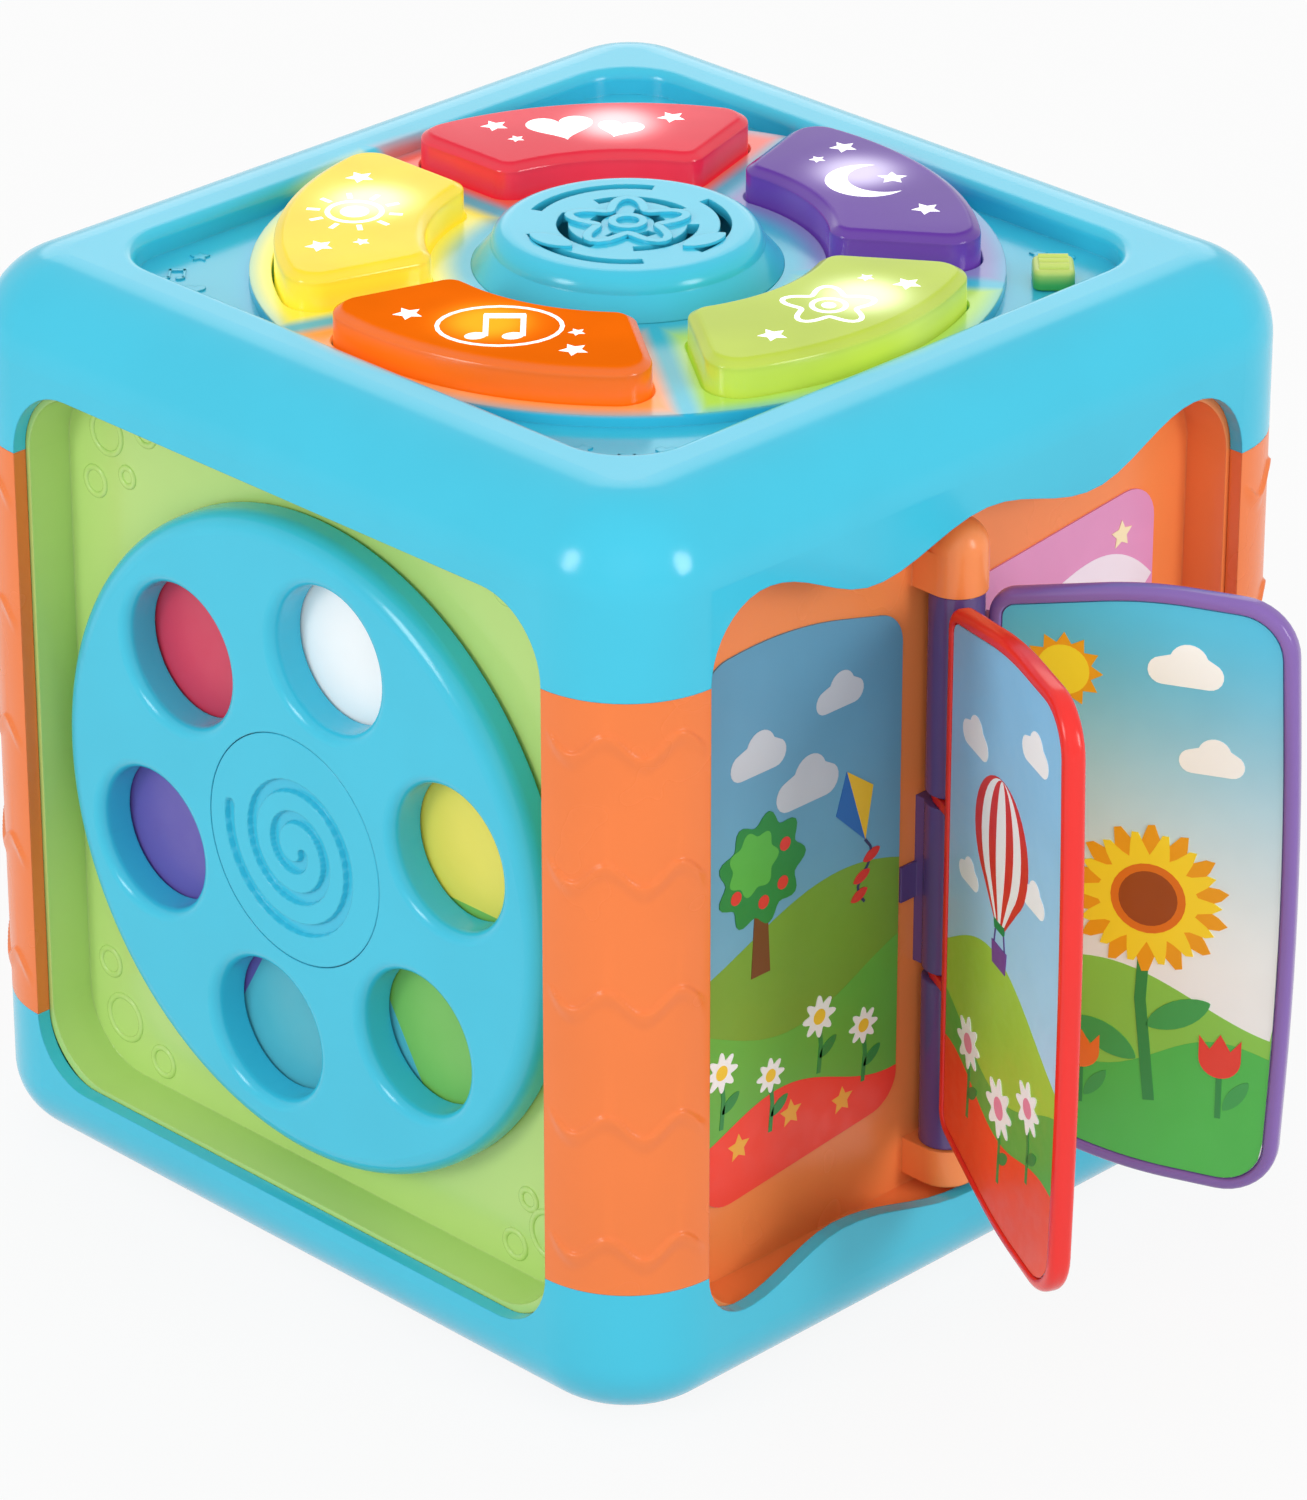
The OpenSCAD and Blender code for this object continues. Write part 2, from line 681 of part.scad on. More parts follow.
// Quarter-round post between the corner tips, with a spigot into the base and one into the cap
module corner_post(turn) {
    color(ORANGE) rotate(90 * turn) difference() {
        union() {
            translate([corner_c, corner_c, base_tip_h]) rotate_extrude(angle = 90)
                translate([corner_r - wall, 0]) square([wall, cap_tip_z - base_tip_h]);
            post_core(base_tip_h, plug_h, corner_r - wall / 2);
            post_core(cap_tip_z - plug_h, plug_h, corner_r - wall / 2);
            post_core(column_top, spigot_l, corner_r - wall - seat_fit);
            post_core(cap_tip_z, cap_spigot_l, corner_r - wall - seat_fit);
        }
        translate([column_c, column_c, column_top - CUT]) screw_hole(screw_bite + 2 * CUT);
        translate([column_c, column_c, cap_tip_z - plug_h - CUT])
            cylinder(r = screw_r + seat_fit, h = plug_h + cap_spigot_l + 2 * CUT);
    }
}

module post_core(z, h, r) {
    start = tray_half + 0.3;
    intersection() {
        translate([corner_c, corner_c, z]) cylinder(r = r, h = h);
        translate([start, start, z]) cube([corner_r, corner_r, h]);
    }
}

// Tray behind a side's opening, drawn flat with Z pointing outwards
module side_tray() {
    difference() {
        translate([0, 0, tray_back]) linear_extrude(tray_front - tray_back)
            rounded_rect(-tray_half, hollow_low - tray_wall, tray_half, hollow_high + tray_wall,
                tray_corner_r + tray_wall);
        translate([0, 0, floor_out]) linear_extrude(tray_depth)
            rounded_rect(-hollow_half, hollow_low, hollow_half, hollow_high, tray_corner_r);
    }
}

// Collar on a tray's floor that an axle stands in
module axle_collar() {
    translate([0, 0, floor_out - tray_floor / 2]) cylinder(r = collar_r, h = tray_floor / 2 + collar_h);
}

module axle_hole() {
    translate([0, 0, tray_back - CUT]) cylinder(r = axle_r + 0.03, h = tray_depth);
}

// Axle riveted behind a tray, with a head in front that keeps what turns on it
module axle(head_back) {
    rivet_t = 2;
    translate([0, 0, tray_back - rivet_t]) cylinder(r = axle_r, h = head_back - tray_back + rivet_t);
    translate([0, 0, tray_back - rivet_t]) cylinder(r = collar_r, h = rivet_t);
    translate([0, 0, head_back]) cylinder(r = axle_head_r, h = axle_head_t);
}

module wheel_panel() {
    color(GREEN) on_side(FRONT) difference() {
        union() {
            side_tray();
            translate([0, play_z, 0]) axle_collar();
        }
        translate([0, play_z, 0]) axle_hole();
    }
}

module wheel_label() {
    color("white") on_side(FRONT) translate([0, play_z, floor_out]) difference() {
        cylinder(r = label_r, h = sheet_t);
        translate([0, 0, -CUT]) cylinder(r = label_hole_r, h = sheet_t + 2 * CUT);
    }
}

module wheel_axle() {
    color(STEEL) on_side(FRONT) translate([0, play_z, 0]) axle(axle_head_back);
}

// Hole with a rounded mouth at the height top
module mouthed_hole(r, low, top, edge) {
    rotate_extrude() difference() {
        translate([0, low]) square([r + edge, top - low + CUT]);
        translate([r, low - CUT]) square([edge + CUT, top - edge - low + CUT]);
        translate([r + edge, top - edge]) circle(edge);
    }
}

module play_wheel() {
    color(BLUE) on_side(FRONT) translate([0, play_z, 0]) difference() {
        rotate_extrude() block_section(wheel_r, wheel_back, wheel_front, wheel_edge_r, 0);
        for (k = [0:FINGER_COUNT - 1]) rotate(finger_turn + 360 / FINGER_COUNT * k) translate([finger_out, 0, 0])
            mouthed_hole(finger_r, wheel_back - CUT, wheel_front, finger_edge_r);
        translate([0, 0, hub_back]) cylinder(r = hub_r + seat_fit, h = hub_sunk + CUT);
        translate([0, 0, axle_head_back - seat_fit]) cylinder(r = axle_head_r + move_gap, h = wheel_t);
        translate([0, 0, wheel_back - CUT]) cylinder(r = axle_r + run_fit, h = wheel_t);
    }
}

module wheel_hub_cap() {
    color(BLUE) on_side(FRONT) translate([0, play_z, hub_back]) difference() {
        cylinder(r = hub_r, h = hub_sunk);
        translate([0, 0, hub_sunk - groove_d]) linear_extrude(groove_d + CUT) spiral_groove();
    }
}

// Groove that winds inwards from its outer end
module spiral_groove() {
    start_r = 2.5;
    end_r = hub_r - 5.5;
    end_turn = 170;
    groove_half = 1.4;
    steps = [for (i = [0:SPIRAL_STEPS]) i / SPIRAL_STEPS];
    polygon(concat(
        [for (t = steps) polar(end_r + (start_r - end_r) * t - groove_half, end_turn + 360 * spiral_turns * t)],
        [for (t = steps) polar(start_r + (end_r - start_r) * t + groove_half, end_turn + 360 * spiral_turns * (1 - t))]
    ));
}

module book_panel() {
    color(ORANGE) difference() {
        union() {
            on_side(RIGHT) side_tray();
            hinge_boss(boss_low, barrel_low);
            hinge_boss(barrel_high, boss_high);
            translate([hinge_x, 0, boss_high]) sphere(boss_r);
        }
        translate([hinge_x, 0, barrel_low - pin_bite - seat_fit])
            cylinder(r = pin_r + 0.03, h = barrel_high - barrel_low + 2 * (pin_bite + seat_fit));
    }
}

module hinge_boss(low, high) {
    translate([hinge_x, 0, low]) cylinder(r = boss_r, h = high - low);
    translate([floor_out - tray_floor / 2, -boss_r, low])
        cube([hinge_x - floor_out + tray_floor / 2, 2 * boss_r, high - low]);
}

module hinge_pin() {
    color(STEEL) translate([hinge_x, 0, barrel_low - pin_bite])
        cylinder(r = pin_r, h = barrel_high - barrel_low + 2 * pin_bite);
}

module pin_bore() {
    translate([0, 0, barrel_low - CUT]) cylinder(r = pin_r + run_fit, h = barrel_high - barrel_low + 2 * CUT);
}

// Still middle of the hinge barrel, on a foot against the panel
module hinge_clip() {
    low = seam_low + ring_t / 2 + seat_fit;
    high = seam_high - ring_t / 2 - seat_fit;
    foot_z = mix(low, high) - clip_foot_h / 2;
    color(PURPLE) difference() {
        union() {
            translate([hinge_x, 0, low]) cylinder(r = barrel_r, h = high - low);
            translate([floor_out, -clip_web_half, low]) cube([hinge_x - floor_out, 2 * clip_web_half, high - low]);
            translate([floor_out, -clip_foot_half, foot_z]) cube([clip_foot_t, 2 * clip_foot_half, clip_foot_h]);
        }
        translate([hinge_x, 0, 0]) pin_bore();
    }
}

// Places a page, side -1 for the red page and 1 for the purple one
module at_page(side) {
    translate([hinge_x, 0, 0]) rotate(side * page_open) children();
}

// Plate across a page from the depth a to the depth b behind its inner face
module page_slice(side, a, b, corners, rounds) {
    translate([0, side < 0 ? -plate_shift - a : plate_shift + b, 0]) rotate([90, 0, 0])
        linear_extrude(b - a) polygon(rounded(corners, rounds));
}

// Slice inside a page's rim, the distance d in from its edge
module page_inside(side, a, b, d) {
    page_slice(side, a, b, inset_corners(PAGE_CORNERS, d), [for (r = PAGE_ROUNDS) max(r - d, 3)]);
}

module page_plate(side) {
    difference() {
        page_slice(side, 0, page_t, PAGE_CORNERS, PAGE_ROUNDS);
        page_inside(side, -CUT, pocket_d, page_rim);
        page_inside(side, page_t - pocket_d, page_t + CUT, page_rim);
    }
}

module page_arm(side, low, high, deep) {
    translate([0, side < 0 ? -plate_shift - deep : plate_shift, low]) cube([arm_end, deep, high - low]);
}

module page_red() {
    color("#ee2a24") at_page(-1) difference() {
        union() {
            page_plate(-1);
            for (z = [seam_low, seam_high]) {
                translate([0, 0, z - ring_t / 2]) cylinder(r = ring_r, h = ring_t);
                page_arm(-1, z - ring_t / 2, z + ring_t / 2, ring_r - plate_shift);
            }
        }
        pin_bore();
    }
}

module page_purple() {
    low_end = seam_low - ring_t / 2 - seat_fit;
    high_end = seam_high + ring_t / 2 + seat_fit;
    color("#8e6db5") at_page(1) difference() {
        union() {
            page_plate(1);
            knuckle(barrel_low + seat_fit, low_end);
            knuckle(high_end, barrel_high - seat_fit);
            page_arm(1, spine_low + spine_round, low_end, page_t);
            page_arm(1, high_end, spine_high - spine_round, page_t);
        }
        pin_bore();
    }
}

module knuckle(low, high) {
    translate([0, 0, low]) cylinder(r = barrel_r, h = high - low);
}

module page_print(side, a) {
    at_page(side) page_inside(side, a, a + sheet_t, page_rim + print_gap);
}

module page_red_print_outer() {
    color("#8fcdf0") page_print(-1, page_t - pocket_d);
}

module page_red_print_inner() {
    color("#f5b04a") page_print(-1, pocket_d - sheet_t);
}

module page_purple_print_outer() {
    color("#f3a6c8") page_print(1, page_t - pocket_d);
}

module page_purple_print_inner() {
    color("#6fd0e2") page_print(1, pocket_d - sheet_t);
}

module book_label(side) {
    rounds = [for (c = LABEL_CORNERS) label_round];
    on_side(RIGHT) translate([0, 0, floor_out]) linear_extrude(sheet_t)
        mirror([side < 0 ? 1 : 0, 0]) polygon(rounded(LABEL_CORNERS, rounds));
}

module book_label_left() {
    color("#5b9bc0") book_label(-1);
}

module book_label_right() {
    color("#e493c4") book_label(1);
}

module gear_panel() {
    color(GREEN) on_side(BACK) difference() {
        union() {
            side_tray();
            for (p = GEAR_PLACES) translate(concat(p, 0)) axle_collar();
        }
        for (p = GEAR_PLACES) translate(concat(p, 0)) axle_hole();
    }
}

module gear_axles() {
    color(STEEL) on_side(BACK) for (p = GEAR_PLACES) translate(concat(p, 0)) axle(gear_front + seat_fit);
}

module gear_outline() {
    base = gear_pitch_r * cos(gear_pressure);
    tip = gear_pitch_r + gear_addendum * gear_module;
    root = gear_pitch_r - gear_dedendum * gear_module;
    levels = [for (i = [0:4]) base + (tip - base) * i / 4];
    flank = concat([root], levels);
    n = len(flank);
    polygon([
        for (k = [0:gear_teeth - 1]) each concat(
            [for (r = flank) polar(r, 360 / gear_teeth * k - tooth_half(r, base))],
            [for (i = [1:n]) polar(flank[n - i], 360 / gear_teeth * k + tooth_half(flank[n - i], base))]
        )
    ]);
}

module gear(place, phase) {
    on_side(BACK) translate(concat(GEAR_PLACES[place], gear_back)) difference() {
        linear_extrude(gear_t) rotate(phase) gear_outline();
        translate([0, 0, -CUT]) cylinder(r = axle_r + run_fit, h = gear_t + 2 * CUT);
    }
}

module gear_middle() {
    color("#ffd94a") gear(0, gear_first_phase);
}

module gear_left() {
    color("#ee4a50") gear(1, mesh_phase(180 + gear_lean, gear_first_phase));
}

module gear_right() {
    color("#7d5fb0") gear(2, mesh_phase(-gear_lean, gear_first_phase));
}

module roller_panel() {
    color(ORANGE) on_side(LEFT) difference() {
        union() {
            side_tray();
            trough_block(trough_half + tray_wall, trough_tall + tray_wall, trough_back - tray_wall, floor_out);
        }
        trough_block(trough_half, trough_tall, trough_back, half_w);
        translate([-trough_half - 2 * tray_wall, play_z, roller_out]) rotate([0, 90, 0])
            cylinder(r = rod_r + 0.03, h = 2 * (trough_half + 2 * tray_wall));
    }
}

module trough_block(half, tall, back, front) {
    translate([-half, play_z - tall, back]) cube([2 * half, 2 * tall, front - back]);
}

module roller_rod() {
    color(STEEL) on_side(LEFT) translate([-trough_half - tray_wall, play_z, roller_out]) rotate([0, 90, 0])
        cylinder(r = rod_r, h = 2 * (trough_half + tray_wall));
}

module roller(place) {
    on_side(LEFT) translate([(place - 1) * (roller_l + roller_gap) - roller_l / 2, play_z, roller_out])
        rotate([0, 90, 0]) difference() {
            rotate_extrude() block_section(roller_r, 0, roller_l, roller_round, roller_round);
            translate([0, 0, -CUT]) cylinder(r = rod_r + run_fit, h = roller_l + 2 * CUT);
        }
}

module roller_left() {
    color("#ee4a50") roller(0);
}

module roller_middle() {
    color("#ffd94a") roller(1);
}

module roller_right() {
    color("#6f62b0") roller(2);
}

module speaker_grille() {
    shoulder_r = 4;
    shoulder_out = grille_top_r + shoulder_r;
    top = plateau_z + grille_rise;
    color(BLUE) difference() {
        rotate_extrude() difference() {
            union() {
                polygon([
                    [0, plateau_z],
                    [grille_r, plateau_z],
                    [shoulder_out, top - shoulder_r],
                    [shoulder_out, top],
                    [0, top]
                ]);
                translate([0, deck_under]) square([grille_spigot_r, plateau_z - deck_under + CUT]);
            }
            translate([grille_top_r, top - shoulder_r]) round_off(shoulder_r);
            translate([-CUT, deck_under - CUT]) square([grille_top_r + CUT, top - grille_t - deck_under + CUT]);
        }
        for (ring = [1:3], k = [0:2]) rotate(120 * k + 40 * ring) grille_slot_cut(ring * grille_top_r / 3.6, top);
    }
}

// Curved slot of the grille at the radius r
module grille_slot_cut(r, top) {
    translate([0, 0, top - grille_t - CUT]) rotate_extrude(angle = 84)
        translate([r - grille_slot / 2, 0]) square([grille_slot, grille_t + 2 * CUT]);
}

module speaker_frame() {
    color("#4a4d52") difference() {
        rotate_extrude() polygon([
            [speaker_r - 8, speaker_top],
            [speaker_r, speaker_top],
            [speaker_r, speaker_top - speaker_rim_t],
            [speaker_r - 6, speaker_top - speaker_rim_t],
            [magnet_r + 1.5, speaker_low],
            [speaker_throat_r, speaker_low],
            [speaker_throat_r, speaker_low + speaker_rim_t],
            [magnet_r + 1, speaker_low + speaker_rim_t]
        ]);
        at_speaker_screws() translate([0, 0, speaker_low]) cylinder(r = screw_r + seat_fit, h = speaker_d + CUT);
    }
}

module speaker_cone() {
    edge_r = speaker_r - 8 - 1;
    cone_t = 0.7;
    foot_r = speaker_throat_r - 0.2;
    foot_z = speaker_low + speaker_rim_t + 0.6;
    color("#2d2d30") rotate_extrude() polygon([
        [edge_r, speaker_top - 0.1],
        [edge_r, speaker_top - 0.1 - cone_t],
        [foot_r, foot_z],
        [0, foot_z],
        [0, foot_z + cone_t],
        [foot_r - 0.3, foot_z + cone_t]
    ]);
}

module speaker_magnet() {
    color("#6d7076") translate([0, 0, speaker_low - magnet_h - 0.1]) cylinder(r = magnet_r, h = magnet_h);
}

module speaker_screws() {
    color(STEEL) at_speaker_screws() translate([0, 0, speaker_top - speaker_rim_t]) screw(speaker_rim_t + deck_t - 0.6);
}

// Hollow key with a flange under the deck and a plunger on its dome
module key(k) {
    plunger_low = board_top + dome_h + 0.1;
    color(KEY_COLOURS[k]) at_key(k) {
        difference() {
            translate([0, 0, key_flange_low]) {
                linear_extrude(key_flange_t) key_outline(key_flange_out);
                linear_extrude(key_top - key_crown_h - key_flange_low) key_outline(0);
                linear_extrude(key_top - key_flange_low) key_outline(-key_crown_in);
            }
            translate([0, 0, key_flange_low - CUT])
                linear_extrude(key_top - key_wall - key_flange_low + CUT) key_outline(-key_crown_in - key_wall);
        }
        translate([key_mid_r, 0, plunger_low]) cylinder(r = 3, h = key_top - key_wall / 2 - plunger_low);
    }
}

module key_dome(k) {
    color("#e8e4da") at_key(k) translate([key_mid_r, 0, board_top]) cylinder(r1 = 5, r2 = 3, h = dome_h);
}

module key_lime() {
    key(0);
}

module key_purple() {
    key(1);
}

module key_red() {
    key(2);
}

module key_yellow() {
    key(3);
}

module key_orange() {
    key(4);
}

module key_dome_lime() {
    key_dome(0);
}

module key_dome_purple() {
    key_dome(1);
}

module key_dome_red() {
    key_dome(2);
}

module key_dome_yellow() {
    key_dome(3);
}

module key_dome_orange() {
    key_dome(4);
}

module main_board() {
    color("#2f7d4a") translate([0, 0, board_low]) difference() {
        linear_extrude(board_t)
            rounded_rect(-board_w / 2, -board_w / 2, board_w / 2, board_w / 2, board_corner_r);
        translate([0, 0, -CUT]) cylinder(r = board_hole_r, h = board_t + 2 * CUT);
        at_board_posts() translate([0, 0, -CUT]) cylinder(r = screw_r + seat_fit, h = board_t + 2 * CUT);
    }
}

module board_chips() {
    chip_h = 1.4;
    chip_w = 12;
    chip_out = mix(board_hole_r, board_w / 2);
    color("#26262a") for (s = [-1, 1]) translate([s * chip_out - chip_w / 2, -chip_w / 2, board_low - chip_h])
        cube([chip_w, chip_w, chip_h]);
}

module key_lights() {
    light_w = 3;
    light_h = 1.2;
    color("white") for (k = [0:KEY_COUNT - 1]) at_key(k)
        translate([key_inner_r + 4, -light_w / 2, board_top]) cube([light_w, light_w, light_h]);
}

module board_screws() {
    color(STEEL) at_board_posts() translate([0, 0, board_low]) screw(board_t + deck_under - board_top - 0.6);
}

module slide_switch_body() {
    color("#3a3a40") at_switch() difference() {
        translate([-switch_body_l / 2, -switch_body_w / 2, board_top])
            cube([switch_body_l, switch_body_w, switch_body_top - board_top]);
        translate([-switch_travel / 2 - stem_l / 2 - move_gap, -stem_w / 2 - move_gap, stem_low - move_gap])
            cube([switch_travel + stem_l + 2 * move_gap, stem_w + 2 * move_gap, body_h]);
    }
}

module switch_knob() {
    rib_w = 1.1;
    rib_h = 0.9;
    foot_z = deck_z + seat_fit + 0.1;
    color("#8bc94b") at_switch() translate([knob_shift, 0, 0]) {
        translate([-stem_l / 2, -stem_w / 2, stem_low]) cube([stem_l, stem_w, foot_z - stem_low + CUT]);
        translate([0, 0, foot_z]) linear_extrude(knob_h - rib_h)
            rounded_rect(-knob_l / 2, -knob_w / 2, knob_l / 2, knob_w / 2, 1.5);
        for (x = [-1, 0, 1]) translate([x * knob_l / 3.4 - rib_w / 2, -knob_w / 2 + 1, foot_z + CUT])
            cube([rib_w, knob_w - 2, knob_h - CUT]);
    }
}

module battery_door() {
    color(BLUE) difference() {
        translate([-door_half, door_start, door_sunk]) cube([2 * door_half, door_end - door_start, door_t]);
        translate([0, door_screw_y, 0]) cylinder(r = screw_r + seat_fit, h = door_top + CUT);
        translate([0, door_screw_y, door_sunk - CUT]) cylinder(r = screw_head_r + seat_fit, h = door_t / 2 + CUT);
    }
}

module battery_door_screw() {
    color(STEEL) translate([0, door_screw_y, door_sunk + door_t / 2]) {
        cylinder(r = screw_r, h = door_t / 2 + screw_bite - CUT);
        translate([0, 0, 0.1 - door_t / 2]) cylinder(r = screw_head_r, h = door_t / 2 - 0.1);
    }
}

module at_cells() {
    for (i = [0:CELL_COUNT - 1]) translate([(i - (CELL_COUNT - 1) / 2) * cell_pitch, bay_start, cell_z])
        rotate([-90, 0, 0]) children();
}

module battery_cells() {
    color("#3c4a5a") at_cells() translate([0, 0, cell_room]) cylinder(r = cell_r, h = cell_l);
}

// Plates at both ends of the bay, with a cone or a stud for each cell
module battery_contacts() {
    plate_t = 0.5;
    edge = 0.1;
    stud_r = 3;
    color(STEEL) {
        for (y = [bay_start + edge, bay_end - edge - plate_t])
            translate([-bay_half + 1, y, cell_z - 5]) cube([2 * bay_half - 2, plate_t, 10]);
        at_cells() {
            translate([0, 0, edge]) cylinder(r1 = stud_r + 1, r2 = stud_r, h = cell_room - 2 * edge);
            translate([0, 0, cell_room + cell_l + edge]) cylinder(r = stud_r, h = cell_room - 2 * edge);
        }
    }
}

module base_screws() {
    color(STEEL) at_columns() translate([0, 0, base_seat_z]) screw(column_top - base_seat_z + screw_bite);
}

module cap_screws() {
    color(STEEL) at_columns() translate([0, 0, cap_tip_z - plug_h]) screw(plug_h + cap_spigot_l + screw_bite);
}

top_cap();
base_tray();
corner_post(2);  // corner_post_front_left
corner_post(3);  // corner_post_front_right
corner_post(0);  // corner_post_back_right
corner_post(1);  // corner_post_back_left
wheel_panel();
book_panel();
gear_panel();
roller_panel();
speaker_grille();
wheel_label();
book_label_left();
book_label_right();
main_board();
board_chips();
key_lights();
key_dome_lime();
key_dome_purple();
key_dome_red();
key_dome_yellow();
key_dome_orange();
slide_switch_body();
speaker_frame();
speaker_cone();
speaker_magnet();
battery_door();
battery_cells();
battery_contacts();
battery_door_screw();
base_screws();
cap_screws();
board_screws();
speaker_screws();
wheel_axle();
hinge_pin();
hinge_clip();
gear_axles();
roller_rod();
play_wheel();
wheel_hub_cap();
page_red();
page_red_print_outer();
page_red_print_inner();
page_purple();
page_purple_print_outer();
page_purple_print_inner();
key_lime();
key_purple();
key_red();
key_yellow();
key_orange();
switch_knob();
gear_middle();
gear_left();
gear_right();
roller_left();
roller_middle();
roller_right();
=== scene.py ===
import json
from dataclasses import dataclass, field
from math import asin, ceil, cos, degrees, pi, radians, sin, tan

import bpy
from mathutils import Matrix, Vector


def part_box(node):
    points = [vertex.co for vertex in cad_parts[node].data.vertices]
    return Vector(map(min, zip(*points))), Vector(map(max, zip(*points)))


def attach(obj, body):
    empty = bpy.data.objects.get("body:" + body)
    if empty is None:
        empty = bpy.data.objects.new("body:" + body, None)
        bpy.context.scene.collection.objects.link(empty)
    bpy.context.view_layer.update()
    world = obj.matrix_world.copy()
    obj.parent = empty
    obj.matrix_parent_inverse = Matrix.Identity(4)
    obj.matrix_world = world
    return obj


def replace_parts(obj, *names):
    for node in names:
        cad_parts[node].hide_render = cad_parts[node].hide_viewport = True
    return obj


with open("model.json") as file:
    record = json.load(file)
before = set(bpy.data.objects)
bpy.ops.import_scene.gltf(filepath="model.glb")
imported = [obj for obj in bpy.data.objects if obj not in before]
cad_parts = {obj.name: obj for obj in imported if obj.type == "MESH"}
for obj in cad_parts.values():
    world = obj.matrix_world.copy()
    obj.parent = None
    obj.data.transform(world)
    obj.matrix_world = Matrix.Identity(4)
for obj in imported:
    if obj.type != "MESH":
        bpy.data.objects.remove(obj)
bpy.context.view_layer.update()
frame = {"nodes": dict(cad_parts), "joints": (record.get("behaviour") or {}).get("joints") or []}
nodes = frame["nodes"]
joints = {joint["name"]: joint for joint in frame["joints"]}

# Sizes are in millimetres and are turned into metres when a mesh is made
MM = 0.001


def low(node):
    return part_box(node)[0] / MM


def high(node):
    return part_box(node)[1] / MM


HALF_W = high("top_cap").x
CORNER_R = 23
CORNER_C = HALF_W - CORNER_R
WALL = 3.2
POST_LOW = high("base_tray").z
POST_HIGH = low("top_cap").z
DECK_Z = 194.5
PLATEAU_Z = 197
FLOOR_OUT = low("book_label_left").x
SHEET_OUT = high("book_label_left").x
PLAY_Z = 97
WHEEL_FRONT = -low("play_wheel").y
HINGE_X = joints["red_page_turn"]["pos_m"][0] / MM
FRONT, RIGHT, BACK, LEFT = range(4)


def rgb(code):
    """Linear colour of a hexadecimal sRGB code."""
    parts = [int(code[i:i + 2], 16) / 255 for i in (1, 3, 5)]
    return [p / 12.92 if p <= 0.04045 else ((p + 0.055) / 1.055) ** 2.4 for p in parts] + [1.0]


def shade(colour, share):
    """A linear colour made lighter, or darker below 1."""
    return [min(1.0, c * share) for c in colour[:3]] + [1.0]


WHITE = [1.0, 1.0, 1.0, 1.0]
BLUE = "#3cc3e0"
KEY_COLOURS = {
    "lime": rgb("#b8cd49"),
    "purple": rgb("#5f3399"),
    "red": rgb("#e42a40"),
    "yellow": rgb("#f8dc36"),
    "orange": rgb("#ee6a0a"),
}
KEY_NAMES = list(KEY_COLOURS)


# Materials
class Shader:
    """Short ways to add and link the nodes of a material, or of the world."""

    def __init__(self, name, owner=None):
        self.material = owner or bpy.data.materials.new(name)
        self.material.use_nodes = True
        self.tree = self.material.node_tree
        self.surface = self.tree.nodes.get("Principled BSDF") or self.tree.nodes["Background"]

    def add(self, kind, inputs=None, **settings):
        node = self.tree.nodes.new("ShaderNode" + kind)
        for key, value in settings.items():
            setattr(node, key, value)
        for key, value in (inputs or {}).items():
            self.set(node.inputs[key], value)
        return node

    def set(self, socket, value):
        if isinstance(value, bpy.types.NodeSocket):
            self.tree.links.new(value, socket)
        else:
            socket.default_value = value

    def made(self, **inputs):
        """The material, with inputs of its surface set."""
        for key, value in inputs.items():
            self.set(self.surface.inputs[key.replace("_", " ")], value)
        return self.material

    def place(self):
        return self.add("TexCoord").outputs["Object"]

    def height(self):
        return self.add("SeparateXYZ", {0: self.place()}).outputs["Z"]

    def noise(self, scale, detail=2.0):
        inputs = {"Vector": self.place(), "Scale": scale, "Detail": detail}
        return self.add("TexNoise", inputs).outputs["Fac"]

    def spread(self, value, from_low, from_high, to_low, to_high):
        """The value eased from one range to another."""
        inputs = {"Value": value, "From Min": from_low, "From Max": from_high,
                  "To Min": to_low, "To Max": to_high}
        return self.add("MapRange", inputs, interpolation_type="SMOOTHSTEP").outputs["Result"]

    def uneven(self, scale, least, most):
        """A value that wanders softly from place to place."""
        return self.spread(self.noise(scale), 0.3, 0.7, least, most)

    def math(self, operation, a, b=0.0, clamp=False):
        return self.add("Math", {0: a, 1: b}, operation=operation, use_clamp=clamp).outputs[0]

    def mix(self, share, a, b, blend="MIX"):
        inputs = {0: share, 6: a, 7: b}
        return self.add("Mix", inputs, data_type="RGBA", blend_type=blend).outputs[2]


MOTTLE_SCALE = 38.0
INK_SCALE = 260.0
INK_ROUGH = (0.34, 0.46)
PLASTIC_GLOSS = 0.45
GRAIN_SCALE = 1500.0
GRAIN_H = 0.1


def mottled(shader, colour, amount):
    """The colour with soft patches a little darker and lighter."""
    share = shader.uneven(MOTTLE_SCALE, 0.0, 1.0)
    return shader.mix(share, shade(colour, 1 - amount), shade(colour, 1 + amount))


def moulded(shader, grain, edge):
    """Softly rounded edges, under a fine grain where there is one, as a normal."""
    bevel = shader.add("Bevel", {"Radius": edge * MM}, samples=4).outputs["Normal"]
    if not grain:
        return bevel
    inputs = {"Height": shader.noise(GRAIN_SCALE, 3.0), "Strength": grain, "Distance": GRAIN_H * MM,
              "Normal": bevel}
    return shader.add("Bump", inputs).outputs["Normal"]


def plastic(name, code, rough=0.18, grain=0.0):
    shader = Shader(name)
    return shader.made(Base_Color=mottled(shader, rgb(code), 0.015),
                       Roughness=shader.uneven(45.0, rough - 0.02, rough + 0.02),
                       Normal=moulded(shader, grain, 0.4), Specular_IOR_Level=PLASTIC_GLOSS)


def inked(shader, colour):
    """Smooth ink on a coated sheet."""
    return shader.made(Base_Color=colour, Roughness=shader.uneven(INK_SCALE, *INK_ROUGH))


def printed(name, code):
    shader = Shader(name)
    return inked(shader, mottled(shader, rgb(code), 0.03))


def tinted(shader, colour):
    """A socket's colour with faint darker patches."""
    return shader.mix(1.0, colour, shader.uneven(60.0, 0.96, 1.0), "MULTIPLY")


